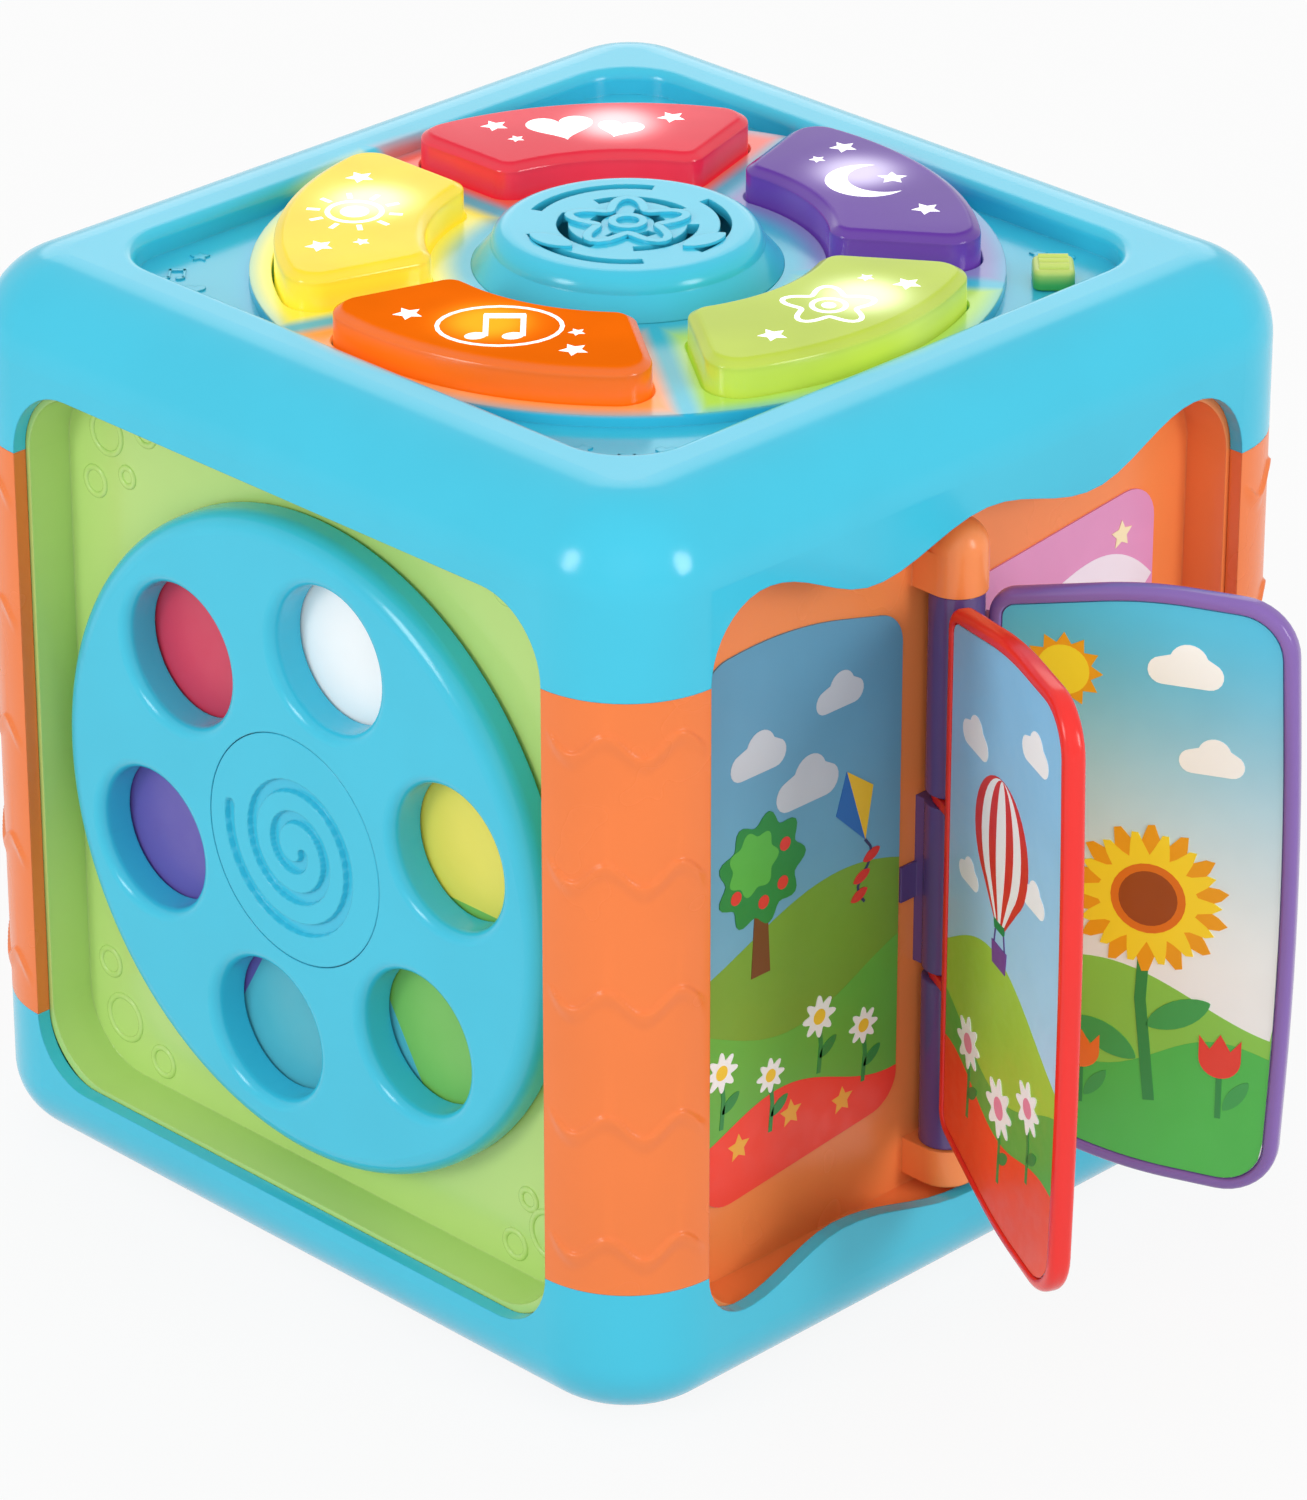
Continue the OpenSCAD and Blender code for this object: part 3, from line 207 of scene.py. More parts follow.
def sky(name, bottom, top, z_low, z_high):
    """Smooth sheet, or the switch knob, whose colour runs from bottom to top."""
    shader = Shader(name)
    share = shader.spread(shader.height(), z_low * MM, z_high * MM, 0.0, 1.0)
    return inked(shader, tinted(shader, shader.mix(share, rgb(bottom), rgb(top))))


def metal(name, code, rough):
    shader = Shader(name)
    return shader.made(Base_Color=mottled(shader, rgb(code), 0.08), Metallic=1.0,
                       Roughness=shader.uneven(400.0, rough - 0.06, rough + 0.08),
                       Normal=moulded(shader, 0.1, 0.2))


# Glow painted into a key's plastic: its reach on the top, its strength there and on the walls, the gloss of
# the edges, and how far below the top the last two start and stop to fade
GLOW_NEAR, GLOW_FAR = 2, 20
GLOW_FALL = 1.7
GLOW_LEAST, GLOW_MOST = 0.12, 0.85
WALL_GLOW = 0.42
WALL_FADE = (3, 0.5)
EDGE_GLOSS = 0.6
EDGE_FADE = (0.7, 0.1)


def lit_key(name, colour, spot, hot, gloss):
    """Key whose painted glow, as from a lamp under the place spot on its top, turns its colour to hot
    there.
    """
    shader = Shader(name)
    top = spot[2]
    ends = {0: shader.place(), 1: Vector(spot) * MM}
    away = shader.add("VectorMath", ends, operation="DISTANCE").outputs["Value"]
    glow = shader.math("POWER", shader.spread(away, GLOW_NEAR * MM, GLOW_FAR * MM, 1.0, 0.0), GLOW_FALL)
    wall = shader.spread(shader.height(), *[(top - d) * MM for d in WALL_FADE], WALL_GLOW, 0.0)
    lit = shader.spread(glow, 0.0, 1.0, GLOW_LEAST, GLOW_MOST)
    edge = shader.spread(shader.height(), *[(top - d) * MM for d in EDGE_FADE], EDGE_GLOSS, gloss)
    return shader.made(Base_Color=mottled(shader, colour, 0.06),
                       Emission_Color=shader.mix(glow, shade(colour, 0.5), hot),
                       Emission_Strength=shader.math("ADD", wall, lit),
                       Roughness=shader.uneven(120.0, 0.14, 0.2),
                       Normal=moulded(shader, 0.0, 0.3), Specular_IOR_Level=edge)


def glowing(name, colour, strength):
    shader = Shader(name)
    base = mottled(shader, colour, 0.02)
    return shader.made(Base_Color=base, Emission_Color=base, Emission_Strength=strength, Roughness=0.35)


# Key ring, as seen from above: the key of number k has its middle at 72 k degrees from +X
KEY_INNER_R = 41
KEY_OUTER_R = 72
KEY_GAP = 10
KEY_OUTER_ROUND = 7
KEY_INNER_ROUND = 5
KEY_TOP = high("key_red").z
KEY_FOOT = low("key_red").z + 2.5
KEY_SECTOR = pi / len(KEY_NAMES)


def key_turn(k):
    return 360 / len(KEY_NAMES) * k


# The light of a key on the housing, painted into its colour and glow: how far it reaches, how much faster
# it fades towards the next key and down the wall of the plateau, and how strong it is
HALO_REACH = 8.2
HALO_SIDE_FALL = 1.8
HALO_DROP = 4.0
HALO_BASE = 0.7
HALO_LIGHT = 0.38


def halo_share(shader, k):
    """How strongly the painted light of key k falls on a point, by its distance from the key's outline."""
    inputs = {"Vector": shader.place(), "Angle": -radians(key_turn(k))}
    turned = shader.add("VectorRotate", inputs, rotation_type="Z_AXIS").outputs[0]
    spot = shader.add("SeparateXYZ", {0: turned})
    x, y = spot.outputs["X"], spot.outputs["Y"]
    flat = shader.add("CombineXYZ", {"X": x, "Y": y}).outputs[0]
    r = shader.add("VectorMath", {0: flat}, operation="LENGTH").outputs["Value"]
    calc = shader.math
    across = calc("MULTIPLY", calc("ABSOLUTE", y), cos(KEY_SECTOR))
    side = calc("SUBTRACT", across, calc("MULTIPLY", x, sin(KEY_SECTOR)))
    side = calc("MULTIPLY", calc("ADD", side, KEY_GAP / 2 * MM), HALO_SIDE_FALL)
    below = calc("MAXIMUM", calc("SUBTRACT", PLATEAU_Z * MM, spot.outputs["Z"]), 0.0)
    outside = calc("SUBTRACT", r, KEY_OUTER_R * MM)
    outside = calc("ADD", outside, calc("MULTIPLY", below, HALO_DROP))
    beyond = calc("MAXIMUM", outside, calc("SUBTRACT", KEY_INNER_R * MM, r))
    return shader.spread(calc("MAXIMUM", beyond, side), 0.0, HALO_REACH * MM, 1.0, 0.0)


# Painted light of each key on the housing: colour and share
HALOS = {
    "lime": (rgb("#b6de44"), 0.95),
    "purple": (rgb("#8a7cba"), 0.9),
    "red": (rgb("#ee5f4a"), 1.0),
    "yellow": (rgb("#fdee48"), 1.0),
    "orange": (rgb("#fd9b44"), 1.0),
}


def lit_housing(name, code):
    """The housing's plastic with the light of the keys painted into its colour and glow."""
    shader = Shader(name, plastic(name, code))
    base = shader.surface.inputs["Base Color"].links[0].from_socket
    light = [0.0, 0.0, 0.0, 1.0]
    for k, key in enumerate(KEY_NAMES):
        tone, most = HALOS[key]
        share = shader.math("MULTIPLY", halo_share(shader, k), most)
        base = shader.mix(share, base, shade(tone, HALO_BASE))
        light = shader.mix(share, light, tone)
    return shader.made(Base_Color=base, Emission_Color=light, Emission_Strength=HALO_LIGHT)


MATERIALS = {
    "housing": lit_housing("housing_blue", BLUE),
    "blue": plastic("blue_plastic", BLUE),
    "orange": plastic("orange_plastic", "#f17d3b", rough=0.26),
    # Lighter copy of the orange plastic on the recessed book and roller panels: painted light against the
    # shade there
    "orange_lightened_for_shade": plastic("orange_lightened_for_shade", "#fb9150", rough=0.26),
    "green": plastic("green_plastic", "#bedf80"),
    "barrel": plastic("barrel_purple", "#5f4a86"),
    "page_purple": plastic("page_purple", "#8463ae"),
    "page_red": plastic("page_red", "#ee2a24"),
    # The knob's colour runs from darker green at its foot to pale yellow-green at its top
    "switch": sky("switch_green", "#46b558", "#cbdc70", 195.5, 199.5),
    "yellow": plastic("toy_yellow", "#ffd23c"),
    "toy_red": plastic("toy_red", "#ea3f48"),
    "toy_purple": plastic("toy_purple", "#7a5ab2"),
    "dark": plastic("dark_plastic", "#303238", rough=0.5, grain=0.1),
    "rubber": plastic("dome_rubber", "#e4dfd2", rough=0.6, grain=0.1),
    "board": plastic("circuit_board", "#2c7a48", rough=0.45),
    "cell": plastic("battery_wrap", "#33465c", rough=0.35),
    "lamp": glowing("key_lamp", WHITE, 2.0),
    "steel": metal("steel", "#b4b8be", 0.34),
    "basket": metal("speaker_basket", "#6b6f76", 0.5),
}

NODE_FINISH = {
    "housing": ["top_cap", "speaker_grille"],
    "blue": ["base_tray", "battery_door", "play_wheel"],
    "orange_lightened_for_shade": ["book_panel", "roller_panel"],
    "green": ["wheel_panel", "gear_panel"],
    "barrel": ["hinge_clip"],
    "dark": ["slide_switch_body", "board_chips", "speaker_cone"],
    "rubber": ["key_dome_" + name for name in KEY_NAMES],
    "board": ["main_board"],
    "cell": ["battery_cells"],
    "lamp": ["key_lights"],
    "steel": ["battery_contacts", "battery_door_screw", "base_screws", "cap_screws", "board_screws",
              "speaker_screws", "wheel_axle", "hinge_pin", "gear_axles", "roller_rod"],
    "basket": ["speaker_frame", "speaker_magnet"],
    "toy_red": ["roller_left"],
    "yellow": ["roller_middle"],
    "toy_purple": ["roller_right"],
}


def finish_node(name, material):
    mesh = nodes[name].data
    mesh.materials.clear()
    mesh.materials.append(material)


for finish, names in NODE_FINISH.items():
    for name in names:
        finish_node(name, MATERIALS[finish])


# Meshes
def add_object(name, data):
    made = bpy.data.objects.new(name, data)
    bpy.context.scene.collection.objects.link(made)
    return made


class Shape:
    """Closed solids gathered into one list of corners and faces."""

    def __init__(self):
        self.verts = []
        self.faces = []

    def rings(self, rings, looped=False):
        """Skin over rings of equally many points; it is capped at both ends or closed to a loop."""
        start = len(self.verts)
        n = len(rings[0])
        for ring in rings:
            self.verts.extend(ring)
        count = len(rings) if looped else len(rings) - 1
        for i in range(count):
            a, b = start + i * n, start + (i + 1) % len(rings) * n
            for j in range(n):
                k = (j + 1) % n
                self.faces.append((a + j, a + k, b + k, b + j))
        if not looped:
            self.faces.append(tuple(start + j for j in reversed(range(n))))
            self.faces.append(tuple(start + (len(rings) - 1) * n + j for j in range(n)))
        return self

    def prism(self, outline, bottom, top):
        """Solid over a counterclockwise outline in X and Y."""
        return self.rings([[(x, y, z) for x, y in outline] for z in (bottom, top)])

    def turned(self, profile, steps=72, hollow=False, at=(0, 0)):
        """Solid of a profile of radius and height, upwards along its outside, about an upright line."""
        rings = [[(*polar(r, a, *at), z) for a in around(steps)] for r, z in profile]
        return self.rings(rings, looped=hollow)

    def make(self, name, material, body, slot, place, smooth=40):
        """The shape as a piece that rides on a body, moved by the matrix place."""
        mesh = bpy.data.meshes.new(name)
        mesh.from_pydata([place @ Vector(v) * MM for v in self.verts], [], self.faces)
        mesh.validate()
        mesh.update()
        mesh.polygons.foreach_set("use_smooth", [True] * len(mesh.polygons))
        mesh.set_sharp_from_angle(angle=radians(smooth))
        mesh.materials.append(material)
        made = add_object(name, mesh)
        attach(made, body)
        return made


UPRIGHT = Matrix.Rotation(pi / 2, 4, "X")


def turned_z(angle):
    return Matrix.Rotation(radians(angle), 4, "Z")


def on_side(side):
    """Matrix from a side's own frame, with X to the viewer's right, Y up and Z outwards."""
    return turned_z(90 * side) @ UPRIGHT


def moved(x, y, z=0):
    return Matrix.Translation((x, y, z))


def polar(r, a, cx=0, cy=0):
    return (cx + r * cos(a), cy + r * sin(a))


def around(steps):
    return [2 * pi * i / steps for i in range(steps)]


def laid(points, x=0, y=0, turn=0, size=1):
    """Flat points grown by size, turned by degrees and moved."""
    c, s = size * cos(radians(turn)), size * sin(radians(turn))
    return [(x + px * c - py * s, y + px * s + py * c) for px, py in points]


def arc(cx, cy, r, start, end, steps=8, ry=None):
    """Points of a circle, or of an ellipse of half height ry, from one angle to another in degrees."""
    angles = [radians(start + (end - start) * i / steps) for i in range(steps + 1)]
    return [(cx + r * cos(a), cy + (ry or r) * sin(a)) for a in angles]


def corner_at(corners, i, d):
    """A corner, the ways to its neighbours, half the angle between them, and the corner moved in by d."""
    p = Vector(corners[i])
    to_a = (Vector(corners[i - 1]) - p).normalized()
    to_b = (Vector(corners[(i + 1) % len(corners)]) - p).normalized()
    half = to_a.angle(to_b) / 2
    return p, to_a, to_b, half, p + (to_a + to_b).normalized() * (d / sin(half))


def rounded(corners, rounds, steps=8):
    """Outline through round corners, with a radius for each."""
    points = []
    for i, r in enumerate(rounds):
        p, to_a, to_b, half, centre = corner_at(corners, i, r)
        start, end = [p + way * (r / tan(half)) - centre for way in (to_a, to_b)]
        sweep = start.angle_signed(end)
        points += [tuple(centre + Matrix.Rotation(-sweep * j / steps, 2) @ start) for j in range(steps + 1)]
    return points


def inset(corners, d):
    """Corners moved in by d from the two edges that meet there."""
    return [tuple(corner_at(corners, i, d)[-1]) for i in range(len(corners))]


# Corner posts with raised waves
WAVE_COUNT = 5
WAVE_PITCH = 27.6
WAVE_FIRST = POST_LOW + 10.4
WAVE_LENGTH = 14.6
WAVE_SWING = 2.4
WAVE_CREST = 14.3
RIDGE_TOP = 0.55
RIDGE_FOOT = 4.2
RIDGE_H = 0.62
RIDGE_FADE = (1.2, 2.5)
POST_COLUMNS = 60
ROW_STEP = 0.2
ARC_LENGTH = pi / 2 * CORNER_R


def wave_relief(along, z):
    """Height of the ridges at a distance along the arc and a height."""
    bare, rise = RIDGE_FADE
    edge = min(along, ARC_LENGTH - along)
    fade = min(1.0, max(0.0, (edge - bare) / rise))
    swing = WAVE_SWING * cos(2 * pi * (along - WAVE_CREST) / WAVE_LENGTH)
    near = (z - WAVE_FIRST - swing) / WAVE_PITCH
    off = (near - round(near)) * WAVE_PITCH
    share = off / RIDGE_TOP if off > 0 else -off / RIDGE_FOOT
    if share >= 1 or not 0 <= round(near) < WAVE_COUNT:
        return 0.0
    return fade * RIDGE_H * (0.5 + 0.5 * cos(pi * share))


def post_rows():
    """Heights of a post's rows of points, close together where a wave passes."""
    rows = [POST_LOW]
    for k in range(WAVE_COUNT):
        start = WAVE_FIRST + WAVE_PITCH * k - WAVE_SWING - RIDGE_FOOT
        count = ceil((2 * WAVE_SWING + RIDGE_FOOT + RIDGE_TOP) / ROW_STEP)
        heights = [start + ROW_STEP * i for i in range(count + 1)]
        rows += [z for z in heights if POST_LOW < z < POST_HIGH]
    return rows + [POST_HIGH]


def waved_post():
    """Quarter ring whose outer wall has the waves; rows of points run from edge to edge."""
    angles = [pi / 2 * i / POST_COLUMNS for i in range(POST_COLUMNS + 1)]
    heights = post_rows()
    rows = [[(CORNER_R + wave_relief(a * CORNER_R, z), a, z) for a in angles] for z in heights]
    rows += [[(CORNER_R - WALL, a, z) for a in angles] for z in (POST_LOW, POST_HIGH)]
    shape = Shape()
    for row in rows:
        shape.verts += [(*polar(r, a, CORNER_C, CORNER_C), z) for r, a, z in row]
    n = len(angles)
    top = len(heights) - 1
    in_low, in_high = top + 1, top + 2
    for a, b in [(j, j + 1) for j in range(top)] + [(in_high, in_low), (in_low, 0), (top, in_high)]:
        shape.faces += [(a * n + i, a * n + i + 1, b * n + i + 1, b * n + i) for i in range(n - 1)]
    edge = [j * n for j in range(top + 1)] + [in_high * n, in_low * n]
    shape.faces += [tuple(edge), tuple(v + n - 1 for v in reversed(edge))]
    return shape


post = waved_post()
for turn, corner in enumerate(["back_right", "back_left", "front_left", "front_right"]):
    name = "waved_post_" + corner
    made = post.make(name, MATERIALS["orange"], "housing", "orange_plastic", turned_z(90 * turn), 60)
    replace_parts(made, "corner_post_" + corner)


# Play wheel: hub with a spiral groove, and the six-colour label behind the finger holes
HUB_R = 25
HUB_SUNK = 1.6
HUB_EDGE = 0.15
SPIRAL_OUTER_R = 19.5
SPIRAL_INNER_R = 2.5
SPIRAL_TURNS = 2.5
SPIRAL_START = radians(170)
GROOVE_HALF = 1.4
GROOVE_WALL = 0.35
GROOVE_D = 1.25
HUB_RINGS = 140
HUB_STEPS = 240
LABEL_COLOURS = ["#efe25c", "#ffffff", "#db3f5c", "#6a5cb0", "#52b9ca", "#7cc45c"]


def spiral_point(t):
    return Vector(polar(SPIRAL_OUTER_R + (SPIRAL_INNER_R - SPIRAL_OUTER_R) * t,
                        SPIRAL_START + 2 * pi * SPIRAL_TURNS * t))


def groove_depth(r, a):
    """Depth of the spiral groove at a radius and an angle."""
    first = (a - SPIRAL_START) / (2 * pi) % 1
    turns = [min(1.0, (first + k) / SPIRAL_TURNS) for k in range(ceil(SPIRAL_TURNS))]
    spot = Vector(polar(r, a))
    away = min((spot - spiral_point(t)).length for t in turns + [0.0, 1.0])
    wall = (GROOVE_HALF - away) / GROOVE_WALL
    return GROOVE_D * (0.5 - 0.5 * cos(pi * min(1.0, max(0.0, wall))))


def spiral_hub():
    """Hub cap whose front is skinned in rings that dip into the groove."""
    angles = around(HUB_STEPS)
    rings = [[(*polar(HUB_R, a), WHEEL_FRONT - HUB_SUNK) for a in angles]]
    for r, dz in arc(HUB_R - HUB_EDGE, -HUB_EDGE, HUB_EDGE, 0, 90, 4):
        rings.append([(*polar(r, a), WHEEL_FRONT + dz) for a in angles])
    for i in reversed(range(1, HUB_RINGS)):
        r = (HUB_R - HUB_EDGE) * i / HUB_RINGS
        rings.append([(*polar(r, a), WHEEL_FRONT - groove_depth(r, a)) for a in angles])
    hub = Shape().rings(rings)
    place = on_side(FRONT) @ moved(0, PLAY_Z)
    made = hub.make("spiral_hub", MATERIALS["blue"], "wheel", "blue_plastic", place)
    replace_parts(made, "wheel_hub_cap")


spiral_hub()


def sector_label():
    """Printed disc with equal sectors of colour round the wheel's axle."""
    shader = Shader("wheel_sectors")
    spot = shader.add("SeparateXYZ", {0: shader.place()})
    up = shader.math("SUBTRACT", spot.outputs["Z"], PLAY_Z * MM)
    angle = shader.math("ARCTAN2", up, spot.outputs["X"])
    turn = shader.math("FRACT", shader.math("ADD", shader.math("DIVIDE", angle, 2 * pi), 1.0))
    ramp = shader.add("ValToRGB", {"Fac": turn})
    ramp.color_ramp.interpolation = "CONSTANT"
    stops = ramp.color_ramp.elements
    while len(stops) < len(LABEL_COLOURS):
        stops.new(0.5)
    for i, code in enumerate(LABEL_COLOURS):
        stops[i].position = i / len(LABEL_COLOURS)
        stops[i].color = rgb(code)
    return shader.made(Base_Color=tinted(shader, ramp.outputs["Color"]),
                       Roughness=shader.uneven(INK_SCALE, 0.32, 0.44))


finish_node("wheel_label", sector_label())


# Flat outlines, counterclockwise, in millimetres
def ellipse(cx, cy, rx, ry=None, turn=0):
    points = [(rx * cos(a), (ry or rx) * sin(a)) for a in around(28)]
    return laid(points, cx, cy, turn)


def star(cx, cy, r, turn=90, tips=5, waist=0.5):
    points = [polar(reach, pi * i / tips) for i, reach in enumerate([r, r * waist] * tips)]
    return laid(points, cx, cy, turn)


def petals(cx, cy, r, count, depth, turn=0):
    """Round flower or leafy crown with wavy edge."""
    points = [polar(r * (1 - depth + depth * cos(count * a)), a) for a in around(72)]
    return laid(points, cx, cy, turn)


def heart(cx, cy, r, turn=0):
    points = []
    for a in around(40):
        y = 13 * cos(a) - 5 * cos(2 * a) - 2 * cos(3 * a) - cos(4 * a)
        points.append((-r * sin(a) ** 3, r * y / 16))
    return laid(points, cx, cy, turn)


def cloud(cx, cy, w):
    """Puffy outline with a flat base."""
    h = w * 0.2
    return (arc(cx + w * 0.32, cy, h, -90, 70, 8)
            + arc(cx + w * 0.04, cy + h * 0.75, h * 1.35, 20, 160, 10)
            + arc(cx - w * 0.32, cy, h, 100, 270, 8))


def leaf(cx, cy, length, width, turn):
    points = [(length / 2 * cos(a), width / 2 * (sin(a) * abs(sin(a)) ** 0.5)) for a in around(24)]
    return laid(points, cx, cy, turn)


def crescent(cx, cy, r, turn=0):
    """Moon that is open towards its turn."""
    points = arc(0, 0, r, 58.7, 301.3, 26) + arc(r * 0.42, 0, r * 0.86, 276.7, 83.3, 26)[1:-1]
    return laid(points, cx, cy, turn)


# Points along a hill, and how far it stays inside the sheet's sides and its other edges
HILL_STEPS = 40
SIDE_GAP = 0.05
HAIR_GAP = 0.02


@dataclass
class Print:
    """Coloured shapes laid on a flat sheet, each layer a little thicker than the one below."""

    name: str
    place: Matrix
    body: str
    outline: list = None
    slot: str = "print"
    material: object = None
    step: float = 0.035
    shapes: dict = field(default_factory=dict)

    def fill(self, colour, layer, *outlines):
        shape = self.shapes.setdefault(colour, Shape())
        for outline in outlines:
            shape.prism(outline, -self.step / 2, layer * self.step)

    def scatter(self, colour, layer, draw, places):
        """Outlines of one kind, by the place and size of each."""
        self.fill(colour, layer, *[draw(*place) for place in places])

    def band(self, colour, layer, points, width, closed=False):
        """Line of even width through points."""
        count = len(points)
        foot, top = -self.step / 2, layer * self.step
        rings = []
        for i, p in enumerate(points):
            a = Vector(points[i - 1] if closed or i > 0 else p)
            b = Vector(points[(i + 1) % count] if closed or i < count - 1 else p)
            way = (b - a).normalized()
            side = Vector((-way.y, way.x)) * width / 2
            left, right = Vector(p) + side, Vector(p) - side
            rings.append([(*left, top), (*right, top), (*right, foot), (*left, foot)])
        self.shapes.setdefault(colour, Shape()).rings(rings, looped=closed)

    def reach(self, x):
        """Lowest and highest point of the sheet's outline at x."""
        found = []
        for i, b in enumerate(self.outline):
            a = self.outline[i - 1]
            if min(a[0], b[0]) <= x <= max(a[0], b[0]) and a[0] != b[0]:
                found.append(a[1] + (b[1] - a[1]) * (x - a[0]) / (b[0] - a[0]))
        return min(found), max(found)

    def under(self, colour, layer, base, swing, length, shift=0, slope=0):
        """All of the sheet below a wave, with points close together towards both edges."""
        xs = [p[0] for p in self.outline]
        x0, x1 = min(xs) + SIDE_GAP, max(xs) - SIDE_GAP
        lower, upper = [], []
        for i in range(HILL_STEPS + 1):
            x = x0 + (x1 - x0) * (0.5 - 0.5 * cos(pi * i / HILL_STEPS))
            bottom, top = self.reach(x)
            wave = base + slope * x + swing * sin((x + shift) / length)
            lower.append((x, bottom + HAIR_GAP))
            upper.append((x, max(bottom + 2 * HAIR_GAP, min(top - HAIR_GAP, wave))))
        self.fill(colour, layer, lower + upper[::-1])

    def finish(self):
        for code, shape in self.shapes.items():
            name = "ink_" + code.lstrip("#")
            material = self.material or bpy.data.materials.get(name) or printed(name, code)
            shape.make(self.name + "_" + code.lstrip("#"), material, self.body, self.slot, self.place)


# Piano keys
KEY_MID_R = (KEY_INNER_R + KEY_OUTER_R) / 2
VIEW_TURN = 45


def key_outline(g):
    """Outline of a key about +X, grown by g."""
    r_in, r_out = KEY_INNER_R - g, KEY_OUTER_R + g
    round_in, round_out = KEY_INNER_ROUND + g, KEY_OUTER_ROUND + g
    line = KEY_GAP / 2 - g
    turn_out = KEY_SECTOR - asin((line + round_out) / (r_out - round_out))
    turn_in = KEY_SECTOR - asin((line + round_in) / (r_in + round_in))
    c_out, c_in = polar(r_out - round_out, turn_out), polar(r_in + round_in, turn_in)
    out_deg, in_deg = degrees(turn_out), degrees(turn_in)
    side_deg = degrees(KEY_SECTOR) + 90
    half = arc(0, 0, r_out, 0, out_deg, 12)[:-1] + arc(*c_out, round_out, out_deg, side_deg, 10)
    half += arc(*c_in, round_in, side_deg, 180 + in_deg, 10) + arc(0, 0, r_in, in_deg, 0, 12)[1:]
    return half + [(x, -y) for x, y in half[-2:0:-1]]


# Growth and height of a key's side, its sloped edge and its top
KEY_PROFILE = ([(0.0, KEY_FOOT)] + arc(-0.9, KEY_TOP - 1.75, 0.8, 0, 62, 4)
               + arc(-2.7, KEY_TOP - 1.6, 1.6, 62, 90, 4))


def note(x, y, size):
    """Two joined eighth notes: filled heads, and the lines of their stems and bar."""
    heads, stems = [], []
    for side in (-0.45, 0.45):
        heads.append(ellipse(x + side * size, y - size * 0.6, size * 0.27, size * 0.2, 20))
        stems.append(laid([(side + 0.24, -0.6), (side + 0.24, 0.7)], x, y, 0, size))
    return heads, stems, laid([(-0.26, 0.62), (0.74, 0.62)], x, y, 0, size)


INK_WHITE = "#ffffff"
SIGN_LINE = 1.1


def key_icon(art, key, turn):
    """A plain white sign for each key, upright as seen across the near corner."""

    def up(points):
        return laid(points, turn=turn)

    def fill(*outlines):
        art.fill(INK_WHITE, 2, *outlines)

    def line(points, width=SIGN_LINE, closed=True):
        art.band(INK_WHITE, 2, points, width, closed)

    if key == "lime":
        line(up(petals(0, 0, 9.6, 5, 0.2, 90)))
        line(ellipse(0, 0, 3.4))
        fill(ellipse(0, 0, 1.5))
    elif key == "purple":
        fill(up(crescent(-1.0, 0, 8.8, 20)), up(star(4.2, 1.6, 3.2)))
    elif key == "red":
        fill(up(heart(-5.4, 0, 7.2, 12)), up(heart(7.0, -0.8, 5.0, -14)))
    elif key == "yellow":
        line(ellipse(0, 0, 5.6))
        for a in around(10):
            line([polar(7.2, a), polar(10.0, a)], closed=False)
        fill(ellipse(0, 0, 3.0))
    else:
        heads, stems, bar = note(-0.4, 0, 8.2)
        fill(*[up(head) for head in heads])
        for stem in stems:
            line(up(stem), closed=False)
        line(up(bar), 2.3, False)
        line(up(ellipse(0.6, 0, 12.4, 9.8)), 0.9)


# Brightest place of each key's painted glow, right and away as seen across the near corner, the colour that
# the key turns to there and how far, and the gloss of the flat top, whose edges are glossier
KEY_SPOTS = {
    "lime": (7, 5, WHITE, 0.8, 0.1),
    "purple": (-3, 5, WHITE, 0.75, 0.1),
    "red": (6, 2, WHITE, 0.85, 0.1),
    "yellow": (3, 6, WHITE, 0.8, 0.1),
    "orange": (-2, 2, rgb("#ffb52e"), 1.0, 0.0),
}
# Small stars beside the sign: out from the middle, along the ring, radius
KEY_STARS = [(3.5, 19.0, 3.0), (-4.5, 15.5, 1.8), (2.5, -18.5, 3.1)]
MATERIALS["icon"] = glowing("icon_white", WHITE, 0.35)

for k, key in enumerate(KEY_NAMES):
    body = key + "_key"
    turned = turned_z(key_turn(k))
    colour = KEY_COLOURS[key]
    right, away, target, share, gloss = KEY_SPOTS[key]
    hot = [a + (b - a) * share for a, b in zip(colour, target)]
    shift = Vector((*laid([(right, away)], turn=VIEW_TURN)[0], 0))
    spot = turned @ Vector((KEY_MID_R, 0, KEY_TOP)) + shift
    shape = Shape().rings([[(x, y, z) for x, y in key_outline(g)] for g, z in KEY_PROFILE])
    lit = lit_key("key_" + key + "_lit", colour, spot, hot, gloss)
    made = shape.make("piano_key_" + key, lit, body, "key_" + key + "_plastic", turned)
    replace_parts(made, "key_" + key)
    sign_place = turned @ moved(KEY_MID_R, 0, KEY_TOP)
    art = Print("key_sign_" + key, sign_place, body, material=MATERIALS["icon"])
    key_icon(art, key, VIEW_TURN - key_turn(k))
    art.scatter(INK_WHITE, 2, star, KEY_STARS)
    art.finish()


# Book: pages with round rims, and printed sheets with plain garden and sky motifs
PAGE_T = 4.6
PAGE_RIM = 2.8
POCKET_D = 0.9
SHEET_T = 0.4
PLATE_SHIFT = 0.1
PRINT_GAP = 0.25
PAGE_OPEN = 26
PAGE_L = 69
PAGE_MID = PAGE_L * 0.55
PAGE_START = 6.2
PAGE_SWELL = 3
PAGE_CORNERS = [(PAGE_START, 37), (PAGE_MID, 28.6), (PAGE_L, 27), (PAGE_L + PAGE_SWELL, 93.5),
                (PAGE_L, 160), (PAGE_MID, 160.65), (PAGE_START, 154.5)]
PAGE_ROUNDS = [6, 90, 12, 900, 12, 90, 6]
RIM_ROUND = 1.7
LIP_ROUND = 0.5
BARREL_R = 5.75
BARREL_LOW, BARREL_HIGH = 29.7, 154.8
SEAMS = (69, 109)
RING_R = 4.4
RING_T = 2
SEAM_GAP = 1.2
ARM_END = 7.6
ARM_LOW, ARM_HIGH = 43, 148.5
BARREL_EDGE = 0.35


def page_outline(d):
    return rounded(inset(PAGE_CORNERS, d), [max(r - d, 3) for r in PAGE_ROUNDS], 10)


